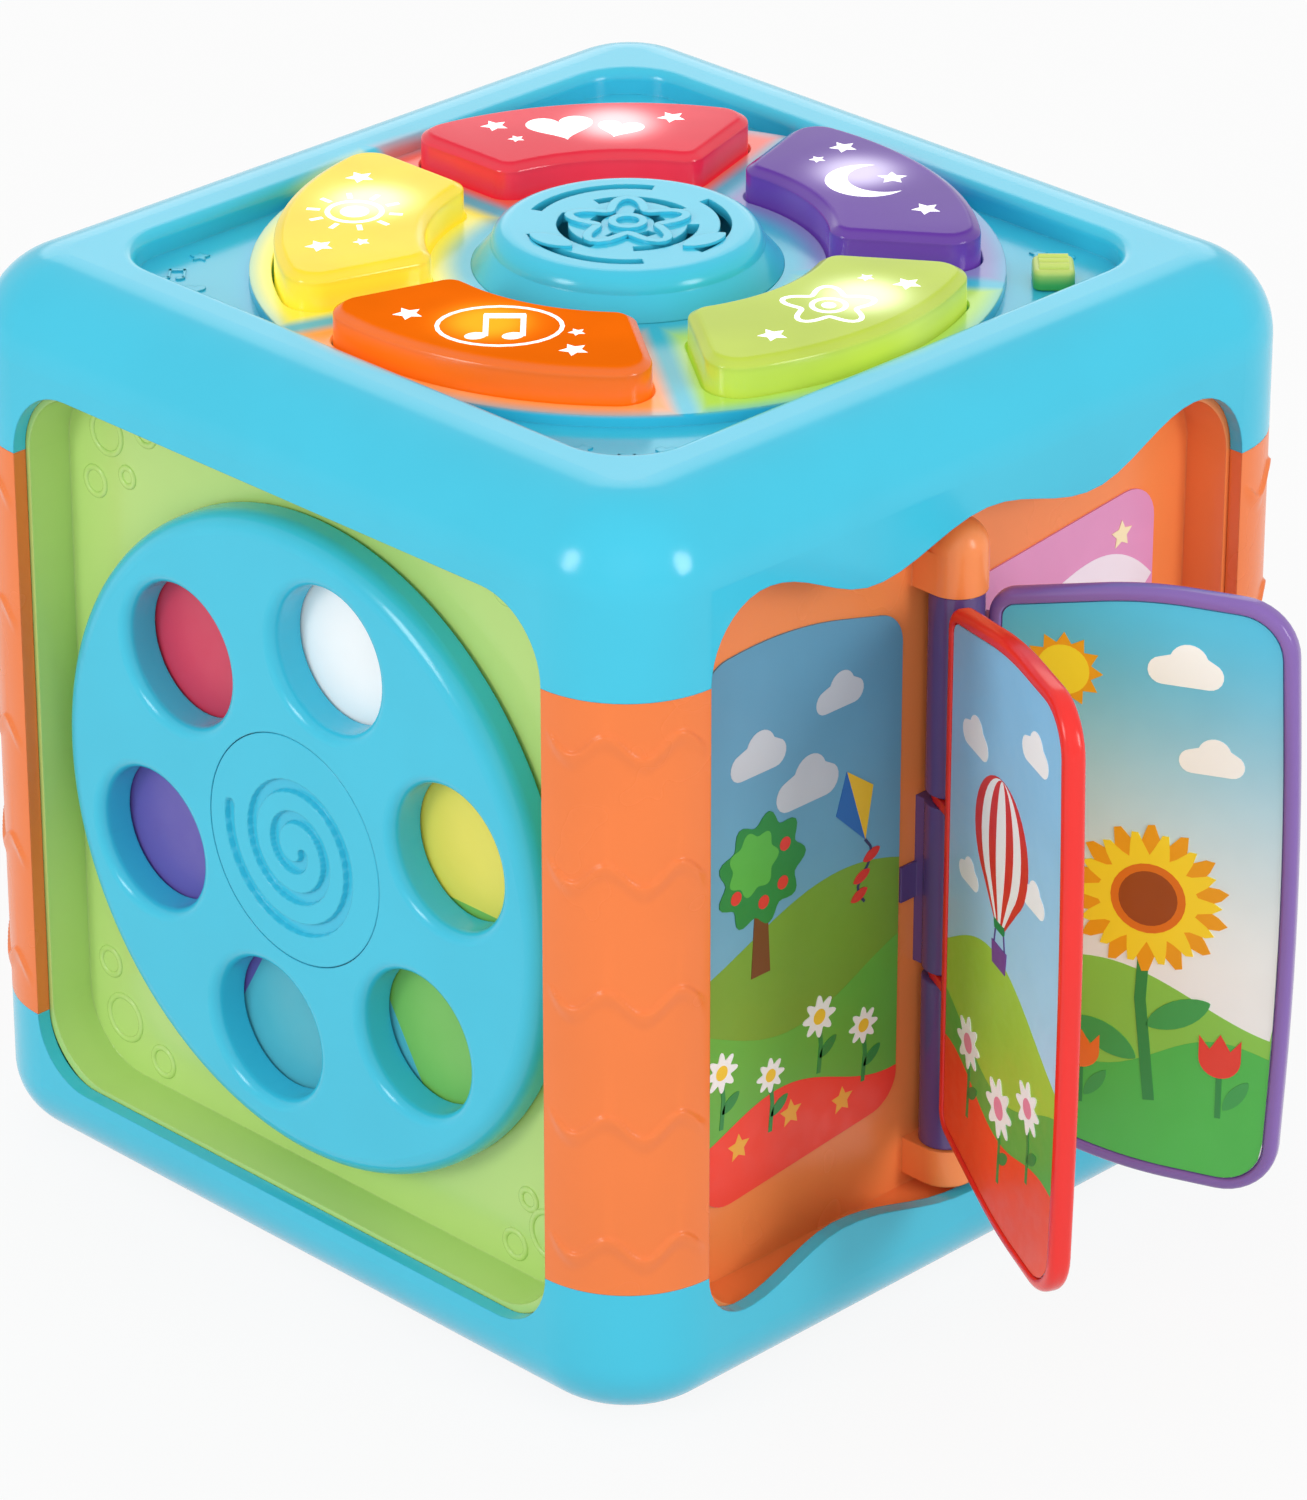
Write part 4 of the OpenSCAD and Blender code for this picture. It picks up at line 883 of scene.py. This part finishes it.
# Rim section as inset and depth, from one pocket's floor round the edge to the other's
HALF_RIM = ([(PAGE_RIM, POCKET_D)] + arc(PAGE_RIM - LIP_ROUND, LIP_ROUND, LIP_ROUND, 0, -90, 4)
            + arc(RIM_ROUND, RIM_ROUND, RIM_ROUND, -90, -180, 6))
RIM_PROFILE = HALF_RIM + [(d, PAGE_T - y) for d, y in reversed(HALF_RIM)]


def page_place(side):
    """Frame of a page, with X along it, Y up and Z towards the near corner of the cube."""
    back = -PLATE_SHIFT if side < 0 else PLATE_SHIFT + PAGE_T
    return moved(HINGE_X, 0) @ turned_z(side * PAGE_OPEN) @ moved(0, back) @ UPRIGHT


def barrel(shape, z0, z1, r):
    """Upright hinge barrel from z0 to z1 with round edges."""
    e = BARREL_EDGE
    shape.turned(arc(r - e, z0 + e, e, -90, 0, 3) + arc(r - e, z1 - e, e, 0, 90, 3), 48)


def book_page(colour, side, arms):
    """Page on one side of the hinge; each arm has its lower and upper end and its depth."""
    shape = Shape().rings([[(x, z, y) for x, z in page_outline(d)] for d, y in RIM_PROFILE])
    for z0, z1, deep in arms:
        near, far = (0, deep) if side < 0 else (PAGE_T - deep, PAGE_T)
        shape.prism([(0, z0), (ARM_END, z0), (ARM_END, z1), (0, z1)], near, far)
    body, node = colour + "_page", "page_" + colour
    made = shape.make(body + "_rim", MATERIALS[node], body, node + "_plastic", page_place(side))
    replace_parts(made, node)


ring_half = RING_T / 2
book_page("red", -1, [(z - ring_half, z + ring_half, RING_R - PLATE_SHIFT) for z in SEAMS])
book_page("purple", 1, [(ARM_LOW, SEAMS[0] - SEAM_GAP, PAGE_T), (SEAMS[1] + SEAM_GAP, ARM_HIGH, PAGE_T)])
hinge_place = moved(HINGE_X, 0)
rings = Shape()
for z in SEAMS:
    barrel(rings, z - ring_half, z + ring_half, RING_R)
rings.make("red_page_rings", MATERIALS["page_red"], "red_page", "page_red_plastic", hinge_place)
knuckles = Shape()
barrel(knuckles, BARREL_LOW, SEAMS[0] - SEAM_GAP, BARREL_R)
barrel(knuckles, SEAMS[1] + SEAM_GAP, BARREL_HIGH, BARREL_R)
knuckles.make("purple_page_knuckles", MATERIALS["barrel"], "purple_page", "purple_plastic", hinge_place)


# Printed sheets
LABEL_ROUND = 8
LABEL_CORNERS = [(9, 40), (66, 34), (66, 156), (9, 150)]
label_outline = rounded(LABEL_CORNERS, [LABEL_ROUND] * 4, 6)
# The left label's upper edge is a gentle curve
CURVED_CORNERS = LABEL_CORNERS[:3] + [(42, 158.5)] + LABEL_CORNERS[3:]
CURVE_ROUND = 90
curved_outline = rounded(CURVED_CORNERS, [LABEL_ROUND] * 3 + [CURVE_ROUND, LABEL_ROUND], 10)
left_outline = [(-x, y) for x, y in reversed(curved_outline)]
sheet_outline = page_outline(PAGE_RIM + PRINT_GAP)
sheet_mirrored = [(-x, y) for x, y in reversed(sheet_outline)]
SHEET_FACE = PAGE_T - POCKET_D + SHEET_T
ON_FRONT = moved(0, 0, SHEET_FACE)
ON_BACK = Matrix.Rotation(pi, 4, "Y") @ moved(0, 0, SHEET_FACE - PAGE_T)
panel_place = on_side(RIGHT) @ moved(0, 0, SHEET_OUT)


STEM_GREEN = "#2f8f46"
LEAF_GREEN = "#3fa652"
BALLOON_RED = "#e02b2b"
SUN_YELLOW = "#ffdf2e"
SUN_ORANGE = "#f2a516"


def daisy(art, x, y, r, stem, heart_ink="#ffd23c"):
    art.band(STEM_GREEN, 5, [(x, y - stem), (x + 0.6, y - stem * 0.5), (x, y)], 1.1)
    art.fill(STEM_GREEN, 5, leaf(x + 2.6, y - stem * 0.6, 6, 2.6, 35))
    art.fill(INK_WHITE, 6, petals(x, y, r, 8, 0.2))
    art.fill(heart_ink, 7, ellipse(x, y, r * 0.36))


def tree(art, x, y, size):
    art.fill("#7a4526", 4, laid([(-0.09, 0), (0.09, 0), (0.06, 0.5), (-0.06, 0.5)], x, y, 0, size))
    art.fill("#2d8a41", 5, petals(x, y + size * 0.78, size * 0.42, 9, 0.1))
    art.fill("#5cb548", 6, petals(x - size * 0.08, y + size * 0.86, size * 0.24, 7, 0.1))
    for apple in laid([(-0.24, 0.66), (0.2, 0.62), (0.02, 0.54), (0.22, 0.9)], x, y, 0, size):
        art.fill("#e23b34", 7, ellipse(*apple, size * 0.05))


def kite(art, x, y, size, turn):
    """Diamond kite of two colours with a bow tail."""
    top, right, bottom, left = laid([(0, 1), (0.62, 0.15), (0, -1), (-0.62, 0.15)], x, y, turn, size)
    art.fill("#2f6fb7", 5, [top, left, bottom])
    art.fill("#f4c430", 5, [top, bottom, right])
    tail = [(bottom[0] + 2.0 * sin(i * 0.9), bottom[1] - 2.0 * i) for i in range(8)]
    art.band("#3a3f66", 5, tail, 0.6)
    for i in (2, 4, 6):
        art.fill("#e23b34", 6, leaf(*tail[i], 5, 2.4, 20))


def balloon(art, x, y, r):
    """Hot-air balloon with upright stripes, a collar and a basket on two ropes."""
    skin = arc(0, 0, 1, -50, 230, 30) + [(-0.16, -1.3), (0.16, -1.3)]
    for layer, share in enumerate((1.0, 0.74, 0.46, 0.18), 4):
        ink = INK_WHITE if layer % 2 else BALLOON_RED
        art.fill(ink, layer, [(x + px * r * share, y + py * r) for px, py in skin])
    collar = [(-0.17, -1.36), (0.17, -1.36), (0.2, -1.22), (-0.2, -1.22)]
    basket = [(-0.24, -1.95), (0.24, -1.95), (0.28, -1.6), (-0.28, -1.6)]
    art.fill("#1f8a4c", 8, laid(collar, x, y, 0, r))
    for s in (-1, 1):
        art.band("#5a3f8c", 4, laid([(s * 0.15, -1.35), (s * 0.2, -1.62)], x, y, 0, r), 0.5)
    art.fill("#7b3f98", 5, laid(basket, x, y, 0, r))


def sunflower(art, x, y, r, stem):
    art.band(STEM_GREEN, 5, [(x + 1.5, y - stem), (x - 1.0, y - stem * 0.5), (x, y)], 2.4)
    leaves = [(x + 7, y - stem * 0.55, 15, 6, 28), (x - 8, y - stem * 0.72, 15, 6, 150)]
    art.scatter(LEAF_GREEN, 5, leaf, leaves)
    art.fill(SUN_ORANGE, 6, petals(x, y, r, 14, 0.16, 12))
    art.fill(SUN_YELLOW, 7, petals(x, y, r * 0.9, 14, 0.18))
    art.fill("#e2761c", 8, ellipse(x, y, r * 0.46))
    art.fill("#9c4a1b", 9, ellipse(x, y, r * 0.36))


def tulip(art, x, y, size, ink):
    art.band(STEM_GREEN, 5, [(x, y - size * 1.7), (x, y)], 1.2)
    art.fill(LEAF_GREEN, 5, leaf(x + size * 0.45, y - size, size * 1.1, size * 0.4, 55))
    tips = [(0.55, 0.6), (0.27, 0.25), (0, 0.7), (-0.27, 0.25), (-0.55, 0.6)]
    art.fill(ink, 6, laid(arc(0, 0, 0.55, 180, 360, 12) + tips, x, y, 0, size))


# Meadow on the left label
art = Print("meadow_label", panel_place, "housing", left_outline)
art.scatter("#c9cdd2", 2, cloud, [(-50, 132, 15), (-27, 138, 13), (-36, 121, 17)])
art.under("#7da73a", 1, 92, 7, 17, 26 + 8.5 * pi)
art.under("#69b646", 2, 74, 6, 13, 20)
art.under("#fb4430", 3, 52, 4, 10, 58)
tree(art, -49, 84, 30)
kite(art, -22, 112, 9, 18)
for x, y, r in ((-60, 66, 4.6), (-46, 60, 4.0), (-32, 68, 4.8), (-19, 61, 4.2)):
    daisy(art, x, y, r, 13)
art.scatter("#f6b23c", 4, star, [(-55, 47, 3.2), (-40, 49, 3.2), (-25, 46, 3.2)])
art.finish()

# Ribbon over purple hills on the right label
art = Print("ribbon_label", panel_place, "housing", label_outline)
ribbon = [(12 + 1.35 * i, 143 - 9 * cos((i - 8) / 9) - 0.022 * (i - 8) ** 2) for i in range(39)]
art.band("#f6eff8", 2, ribbon, 6.5)
art.under("#c77fbd", 1, 125, 6, 9, 0, -0.3)
art.under("#9a62b4", 3, 92, 8, 12)
art.under("#5f4a9c", 4, 62, 6, 9, 9)
stars = [(56, 146, 3.2), (20, 108, 4), (38, 98, 3), (54, 104, 4.4), (30, 76, 3.4), (52, 80, 3)]
art.scatter("#fff2c2", 5, star, stars)
art.scatter("#f27fae", 5, heart, [(22, 50, 4.2), (40, 46, 4.2), (56, 52, 4.2)])
art.finish()

# Balloon on the red page
art = Print("balloon_page", page_place(-1) @ ON_FRONT, "red_page", sheet_outline)
art.scatter(INK_WHITE, 2, cloud, [(22, 132, 13), (53, 143, 13), (54, 112, 11), (20, 101, 10)])
art.under("#a7cf45", 1, 82, 9, 15, -10)
art.under("#5fb24a", 2, 66, 6, 12, 6 * pi)
art.under("#fb5028", 3, 58, 3, 8, 0, -0.12)
balloon(art, 37, 116, 14)
for x, y, r in ((22, 64, 6.0), (39, 58, 6.8), (54, 66, 6.0)):
    daisy(art, x, y, r, 17, "#f08fae")
art.finish()

# Sunflower on the purple page
art = Print("sunflower_page", page_place(1) @ ON_FRONT, "purple_page", sheet_outline)
art.scatter(INK_WHITE, 2, cloud, [(47, 143, 15), (53, 124, 13), (22, 118, 10)])
art.under("#8ccf4f", 1, 70, 7, 14, -8)
art.under("#4fc050", 2, 52, 3, 7, 0, 0.12)
art.fill(SUN_ORANGE, 3, star(22, 140, 8.2, 90, 12, 0.72))
art.fill(SUN_YELLOW, 4, ellipse(22, 140, 5.4))
sunflower(art, 41, 92, 17, 46)
for x, y, size, ink in ((19, 62, 8, "#e8402f"), (28, 55, 7, "#f07a2a"), (57, 58, 8, "#e8402f")):
    tulip(art, x, y, size, ink)
art.finish()

# Hearts behind the red page
art = Print("heart_page", page_place(-1) @ ON_BACK, "red_page", sheet_mirrored)
art.under("#f7c95a", 1, 112, 6, 8)
art.under("#f08a3c", 2, 78, 6, 8, 8)
art.under("#e25a3a", 3, 52, 5, 8, 16)
hearts = [(-24, 134, 6), (-50, 138, 7), (-37, 104, 10), (-22, 78, 6), (-54, 80, 6)]
art.scatter("#e23b5a", 4, heart, hearts)
art.scatter(INK_WHITE, 5, heart, [(x, y + 0.4, r * 0.45) for x, y, r in hearts])
art.finish()

# Flowers behind the purple page
art = Print("flower_page", page_place(1) @ ON_BACK, "purple_page", sheet_mirrored)
art.under("#f6c6dc", 1, 120, 5, 10)
art.under("#c78fd0", 2, 66, 6, 11, 22)
flowers = [(-24, 132, 8), (-50, 120, 10), (-30, 92, 11), (-54, 76, 8), (-26, 54, 8)]
for i, (x, y, r) in enumerate(flowers):
    art.fill("#fff2a8" if i % 2 else INK_WHITE, 4, petals(x, y, r, 6, 0.22))
    art.fill("#f08a3c", 5, ellipse(x, y, r * 0.3))
art.finish()

meadow_sky = sky("book_label_left_sky", "#7cb6cf", "#639fbd", 60, 150)
sheet = Shape().prism(left_outline, FLOOR_OUT, SHEET_OUT)
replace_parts(sheet.make("meadow_sheet", meadow_sky, "housing", "print", on_side(RIGHT)), "book_label_left")

SHEET_SKIES = {
    "book_label_right": ("#df8fc4", "#e79ccb", 40, 150),
    "page_red_print_outer": ("#b7e0fa", "#8fcbf2", 60, 160),
    "page_red_print_inner": ("#fbe08a", "#f7cf5e", 60, 160),
    "page_purple_print_inner": ("#f6fcfd", "#4fc0e4", 70, 158),
    "page_purple_print_outer": ("#f3a6c8", "#ef8fbb", 60, 160),
}
for node, run in SHEET_SKIES.items():
    finish_node(node, sky(node + "_sky", *run))


# Raised bubbles and signs on the panels and the deck
SUNK = 0.2
BUBBLE_HALF = 0.7
BUBBLE_H = 0.45
FLOWER_STEP = 0.15
SIGN_STEP = 0.12


def ring_section(r, half, height, base=0, steps=8):
    """Profile of a round ridge that reaches a little into the face below it."""
    foot = base - SUNK
    return [(r - half, foot), (r + half, foot)] + arc(r, base, half, 0, 180, steps, height)


def dome_section(r, height, steps):
    return [(r, -SUNK)] + arc(0, 0, r, 0, 90, steps, height)[:-1]


def bubbles(name, side, material, slot, rings):
    """Ridges in rings on a side's panel, by their places and radii."""
    shape = Shape()
    for x, y, r in rings:
        section = ring_section(r, BUBBLE_HALF, BUBBLE_H, FLOOR_OUT, 6)
        shape.turned(section, 40, hollow=True, at=(x, y))
    shape.make(name, material, "housing", slot, on_side(side))


WHEEL_BUBBLES = [(-64, 166, 4.5), (-52, 170, 3), (-68, 154, 3), (-58, 158, 2), (64, 165, 5),
                 (53, 170, 3), (68, 153, 3), (-65, 30, 5), (-53, 24, 3.2), (-69, 42, 3),
                 (64, 30, 5.2), (54, 24, 3), (69, 43, 3), (58, 36, 2.2)]
bubbles("wheel_panel_bubbles", FRONT, MATERIALS["green"], "green_plastic", WHEEL_BUBBLES)
GEAR_BUBBLES = [(-60, 160, 6), (-46, 166, 3.5), (-66, 146, 3), (60, 160, 6), (46, 166, 3.5), (66, 146, 3),
                (0, 40, 7), (-14, 32, 4), (14, 32, 4), (0, 162, 4)]
bubbles("gear_panel_bubbles", BACK, MATERIALS["green"], "green_plastic", GEAR_BUBBLES)
ROLLER_BUBBLES = [(x, y, r) for y in (140, 54) for x, r in ((-48, 6), (-24, 9), (0, 6), (24, 9), (48, 6))]
bubbles("roller_panel_bubbles", LEFT, MATERIALS["orange_lightened_for_shade"], "orange_plastic", ROLLER_BUBBLES)


def raised(name, base, step):
    """Relief in the housing's own plastic."""
    return Print(name, moved(0, 0, base), "housing", None, "blue_plastic", MATERIALS["housing"], step)


# Flower with two leaves over the grille's slots
art = raised("grille_flower", high("speaker_grille").z, FLOWER_STEP)
art.band("raised", 5, laid(petals(0, 0, 12.5, 5, 0.24, 90), turn=VIEW_TURN), 1.9, True)
art.band("raised", 5, ellipse(0, 0, 3.2), 1.7, True)
for side in (-1, 1):
    art.fill("raised", 4, laid(leaf(side * 15.5, -9.5, 11, 5, side * 38), turn=VIEW_TURN))
art.finish()

# Small notes, stars and hearts on the deck
DECK_SIGNS = [(-65, -66, "note", 3.4), (-68, -56, "star", 2.2), (-56, -68, "heart", 2.2),
              (65, -66, "note", 3.4), (56, -68, "star", 2.2), (68, -57, "heart", 2.2),
              (52.5, 66.5, "star", 2.0), (58, 69, "heart", 1.8), (69, 58, "note", 2.6)]
art = raised("deck_signs", DECK_Z, SIGN_STEP)
for x, y, kind, size in DECK_SIGNS:
    if kind == "note":
        heads, stems, bar = note(0, 0, size)
        art.fill("raised", 3, *[laid(head, x, y, VIEW_TURN) for head in heads])
        for line, width in ((stems[0], 0.6), (stems[1], 0.6), (bar, 1.0)):
            art.band("raised", 3, laid(line, x, y, VIEW_TURN), width)
    elif kind == "star":
        art.fill("raised", 3, star(x, y, size, 90 + VIEW_TURN))
    else:
        art.fill("raised", 3, heart(x, y, size, VIEW_TURN))
art.finish()


# Slide switch knob with ribs
KNOB_L, KNOB_W, KNOB_H = 10, 8.5, 5
KNOB_FOOT = low("switch_knob").z
KNOB_BASE = DECK_Z + 0.3
KNOB_SHIFT = 4.5
KNOB_ROUND = 2
KNOB_EDGE = 1
SWITCH_OUT = 86.4
RIB_H = 1
RIB_HALF = 0.75
RIB_SUNK = 0.6
RIB_END = 1.2
RIB_PLACES = (-2.4, 0, 2.4)
PEG_HALF_L, PEG_HALF_W, PEG_ROUND = 2.5, 1.5, 0.3


def block(half_l, half_w, r):
    return rounded([(-half_l, -half_w), (half_l, -half_w), (half_l, half_w), (-half_l, half_w)], [r] * 4, 5)


knob = Shape()
knob_top = KNOB_BASE + KNOB_H - RIB_H
profile = [(0, KNOB_BASE)] + arc(KNOB_EDGE, knob_top - KNOB_EDGE, KNOB_EDGE, 180, 90, 4)
rings = []
for d, z in profile:
    rings.append([(x, y, z) for x, y in block(KNOB_L / 2 - d, KNOB_W / 2 - d, KNOB_ROUND - d)])
knob.rings(rings)
section = arc(0, knob_top, RIB_HALF, 0, 180, 8, RIB_H)
section += [(-RIB_HALF, knob_top - RIB_SUNK), (RIB_HALF, knob_top - RIB_SUNK)]
rib_end = KNOB_W / 2 - RIB_END
for x in RIB_PLACES:
    knob.rings([[(x + dx, y, z) for dx, z in reversed(section)] for y in (-rib_end, rib_end)])
knob.prism(block(PEG_HALF_L, PEG_HALF_W, PEG_ROUND), KNOB_FOOT, KNOB_BASE + SUNK)
switch_place = moved(*polar(SWITCH_OUT, pi / 4)) @ turned_z(-45) @ moved(KNOB_SHIFT, 0)
knob = knob.make("ribbed_knob", MATERIALS["switch"], "switch", "switch_plastic", switch_place)
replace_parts(knob, "switch_knob")


# Gears: raised rim and ring of studs on the outer face of each gear, and a dome on each axle
AXLE_HEAD_R = 6
AXLE_DOME = 1.4
GEAR_RIM_R, GEAR_RIM_HALF, GEAR_RIM_H = 19, 1.6, 0.9
STUDS = 6
STUD_RING, STUD_R, STUD_H = 12.6, 2.3, 1.1
STUD_TURN = 0.3
# Colour of each gear and of its studs
GEARS = {"middle": ("yellow", "toy_red"), "left": ("toy_red", "yellow"), "right": ("toy_purple", "yellow")}

for name, (finish, accent) in GEARS.items():
    finish_node("gear_" + name, MATERIALS[finish])
    body = name + "_gear"
    slot = "gear_" + finish.removeprefix("toy_") + "_plastic"
    x, _, z = (v / MM for v in joints["gear_%s_spin" % name]["pos_m"])
    gear_place = on_side(BACK) @ moved(-x, z, high("gear_middle").y)
    rim = Shape().turned(ring_section(GEAR_RIM_R, GEAR_RIM_HALF, GEAR_RIM_H), hollow=True)
    rim.make("gear_rim_" + name, MATERIALS[finish], body, slot, gear_place)
    studs = Shape()
    for a in around(STUDS):
        studs.turned(dome_section(STUD_R, STUD_H, 6), 24, at=polar(STUD_RING, a + STUD_TURN))
    studs.make("gear_studs_" + name, MATERIALS[accent], body, slot, gear_place)
    dome = Shape().turned(dome_section(AXLE_HEAD_R, AXLE_DOME, 8), 40)
    head_place = on_side(BACK) @ moved(-x, z, high("gear_axles").y)
    dome.make("axle_dome_" + name, MATERIALS["blue"], "housing", "blue_plastic", head_place)


# Rollers: raised signs wrapped round each one
ROLLER_R = 13
MARK_H = 0.15
MARK_SHARES = (1.0, 0.75, 0.5, 0.25, 0.04)
MARK_COLUMNS = (-12, 0, 12)
MARKS_ROUND = 6


def wrapped(x, turn, outline, height):
    """Outline laid on a roller about a point of it, as X along the roller and the rest round it."""
    r = ROLLER_R + height
    angles = [turn + py / ROLLER_R for _, py in outline]
    return [(x + px, r * sin(a), r * cos(a)) for (px, _), a in zip(outline, angles)]


def roller_marks(name, outline, ink):
    shape = Shape()
    for i, x in enumerate(MARK_COLUMNS):
        for j in range(MARKS_ROUND):
            turn = 2 * pi * (j + i % 2 / 2) / MARKS_ROUND
            rings = [wrapped(x, turn, outline, -MARK_H)]
            for share in MARK_SHARES:
                rings.append(wrapped(x, turn, laid(outline, size=share), MARK_H))
            shape.rings([ring[::-1] for ring in rings])
    axis = Vector(joints["roller_%s_spin" % name]["pos_m"]) / MM
    place = on_side(LEFT) @ moved(-axis.y, axis.z, -axis.x)
    shape.make("roller_marks_" + name, ink, name + "_roller", "print", place)


roller_marks("left", star(0, 0, 4.6), printed("mark_yellow", "#ffd23c"))
roller_marks("middle", ellipse(0, 0, 3.4), printed("mark_red", "#e8443c"))
roller_marks("right", heart(0, 0, 4.0, 90), printed("mark_lime", "#b9e06a"))


# Stage, light and camera
CAMERA_AZIMUTH = 45
CAMERA_ELEVATION = 26.6
CAMERA_DISTANCE = 1.5
CAMERA_LENS = 171
CAMERA_AIM = Vector((3.7, 3.7, 86)) * MM
AMBIENT = 0.78
FLOOR_SIZE = 30.0
FLOOR_DROP = 0.2
FLOOR_GREY = [0.68, 0.68, 0.68, 1.0]
FLOOR_GLOW = 0.9
# Lamps: place, width and height in metres, power, and whether they are seen in glossy surfaces
LAMPS = {
    "key_light": ((-0.3, -1.75, 0.8), 0.5, 0.8, 8, True),
    "fill_light": ((1.75, 0.3, 0.7), 0.5, 0.8, 8, True),
    "front_light": ((1.3, -1.3, 0.95), 1.5, 1.5, 5, False),
    "back_light": ((-1.3, 1.3, 1.0), 1.6, 1.6, 7, True),
}

# Floor that the camera sees as almost white, with soft shadows
mesh = bpy.data.meshes.new("floor")
corners = [(-1, -1), (1, -1), (1, 1), (-1, 1)]
z = -FLOOR_DROP * MM
mesh.from_pydata([(x * FLOOR_SIZE, y * FLOOR_SIZE, z) for x, y in corners], [], [(0, 1, 2, 3)])
shader = Shader("floor_white")
grey = mottled(shader, FLOOR_GREY, 0.01)
mesh.materials.append(shader.made(Base_Color=grey, Roughness=0.9, Specular_IOR_Level=0.0))
path = shader.add("LightPath").outputs
seen = shader.math("ADD", path["Is Camera Ray"], path["Is Glossy Ray"])
seen = shader.math("ADD", seen, path["Is Transmission Ray"], clamp=True)
share = shader.math("MULTIPLY", seen, FLOOR_GLOW)
white = shader.add("Emission", {"Color": WHITE, "Strength": 1.0}).outputs[0]
soft = shader.add("MixShader", {0: share, 1: shader.surface.outputs[0], 2: white})
shader.set(shader.tree.nodes["Material Output"].inputs["Surface"], soft.outputs[0])
made = add_object("floor", mesh)

# White surroundings, a little dimmer as light than as seen, and the lamps
world = bpy.data.worlds.new("studio")
bpy.context.scene.world = world
shader = Shader("studio", world)
path = shader.add("LightPath").outputs
seen = shader.math("ADD", path["Is Camera Ray"], path["Is Transmission Ray"])
level = shader.add("MapRange", {"Value": seen, "To Min": AMBIENT, "To Max": 1.0})
shader.made(Color=WHITE, Strength=level.outputs[0])
for name, (place, width, height, power, mirrored) in LAMPS.items():
    data = bpy.data.lights.new(name, "AREA")
    data.shape = "ELLIPSE"
    data.size = width
    data.size_y = height
    data.energy = power
    made = add_object(name, data)
    made.visible_glossy = mirrored
    made.location = place
    made.rotation_euler = (CAMERA_AIM - Vector(place)).to_track_quat("-Z", "Y").to_euler()

# Camera as in the photo
a, e = radians(CAMERA_AZIMUTH), radians(CAMERA_ELEVATION)
back = Vector((sin(a) * cos(e), -cos(a) * cos(e), sin(e)))
data = bpy.data.cameras.new("photo_camera")
data.lens = CAMERA_LENS
made = add_object("photo_camera", data)
made.location = CAMERA_AIM + back * CAMERA_DISTANCE
made.rotation_euler = (-back).to_track_quat("-Z", "Y").to_euler()
bpy.context.scene.camera = made
bpy.context.scene.view_settings.view_transform = "Standard"
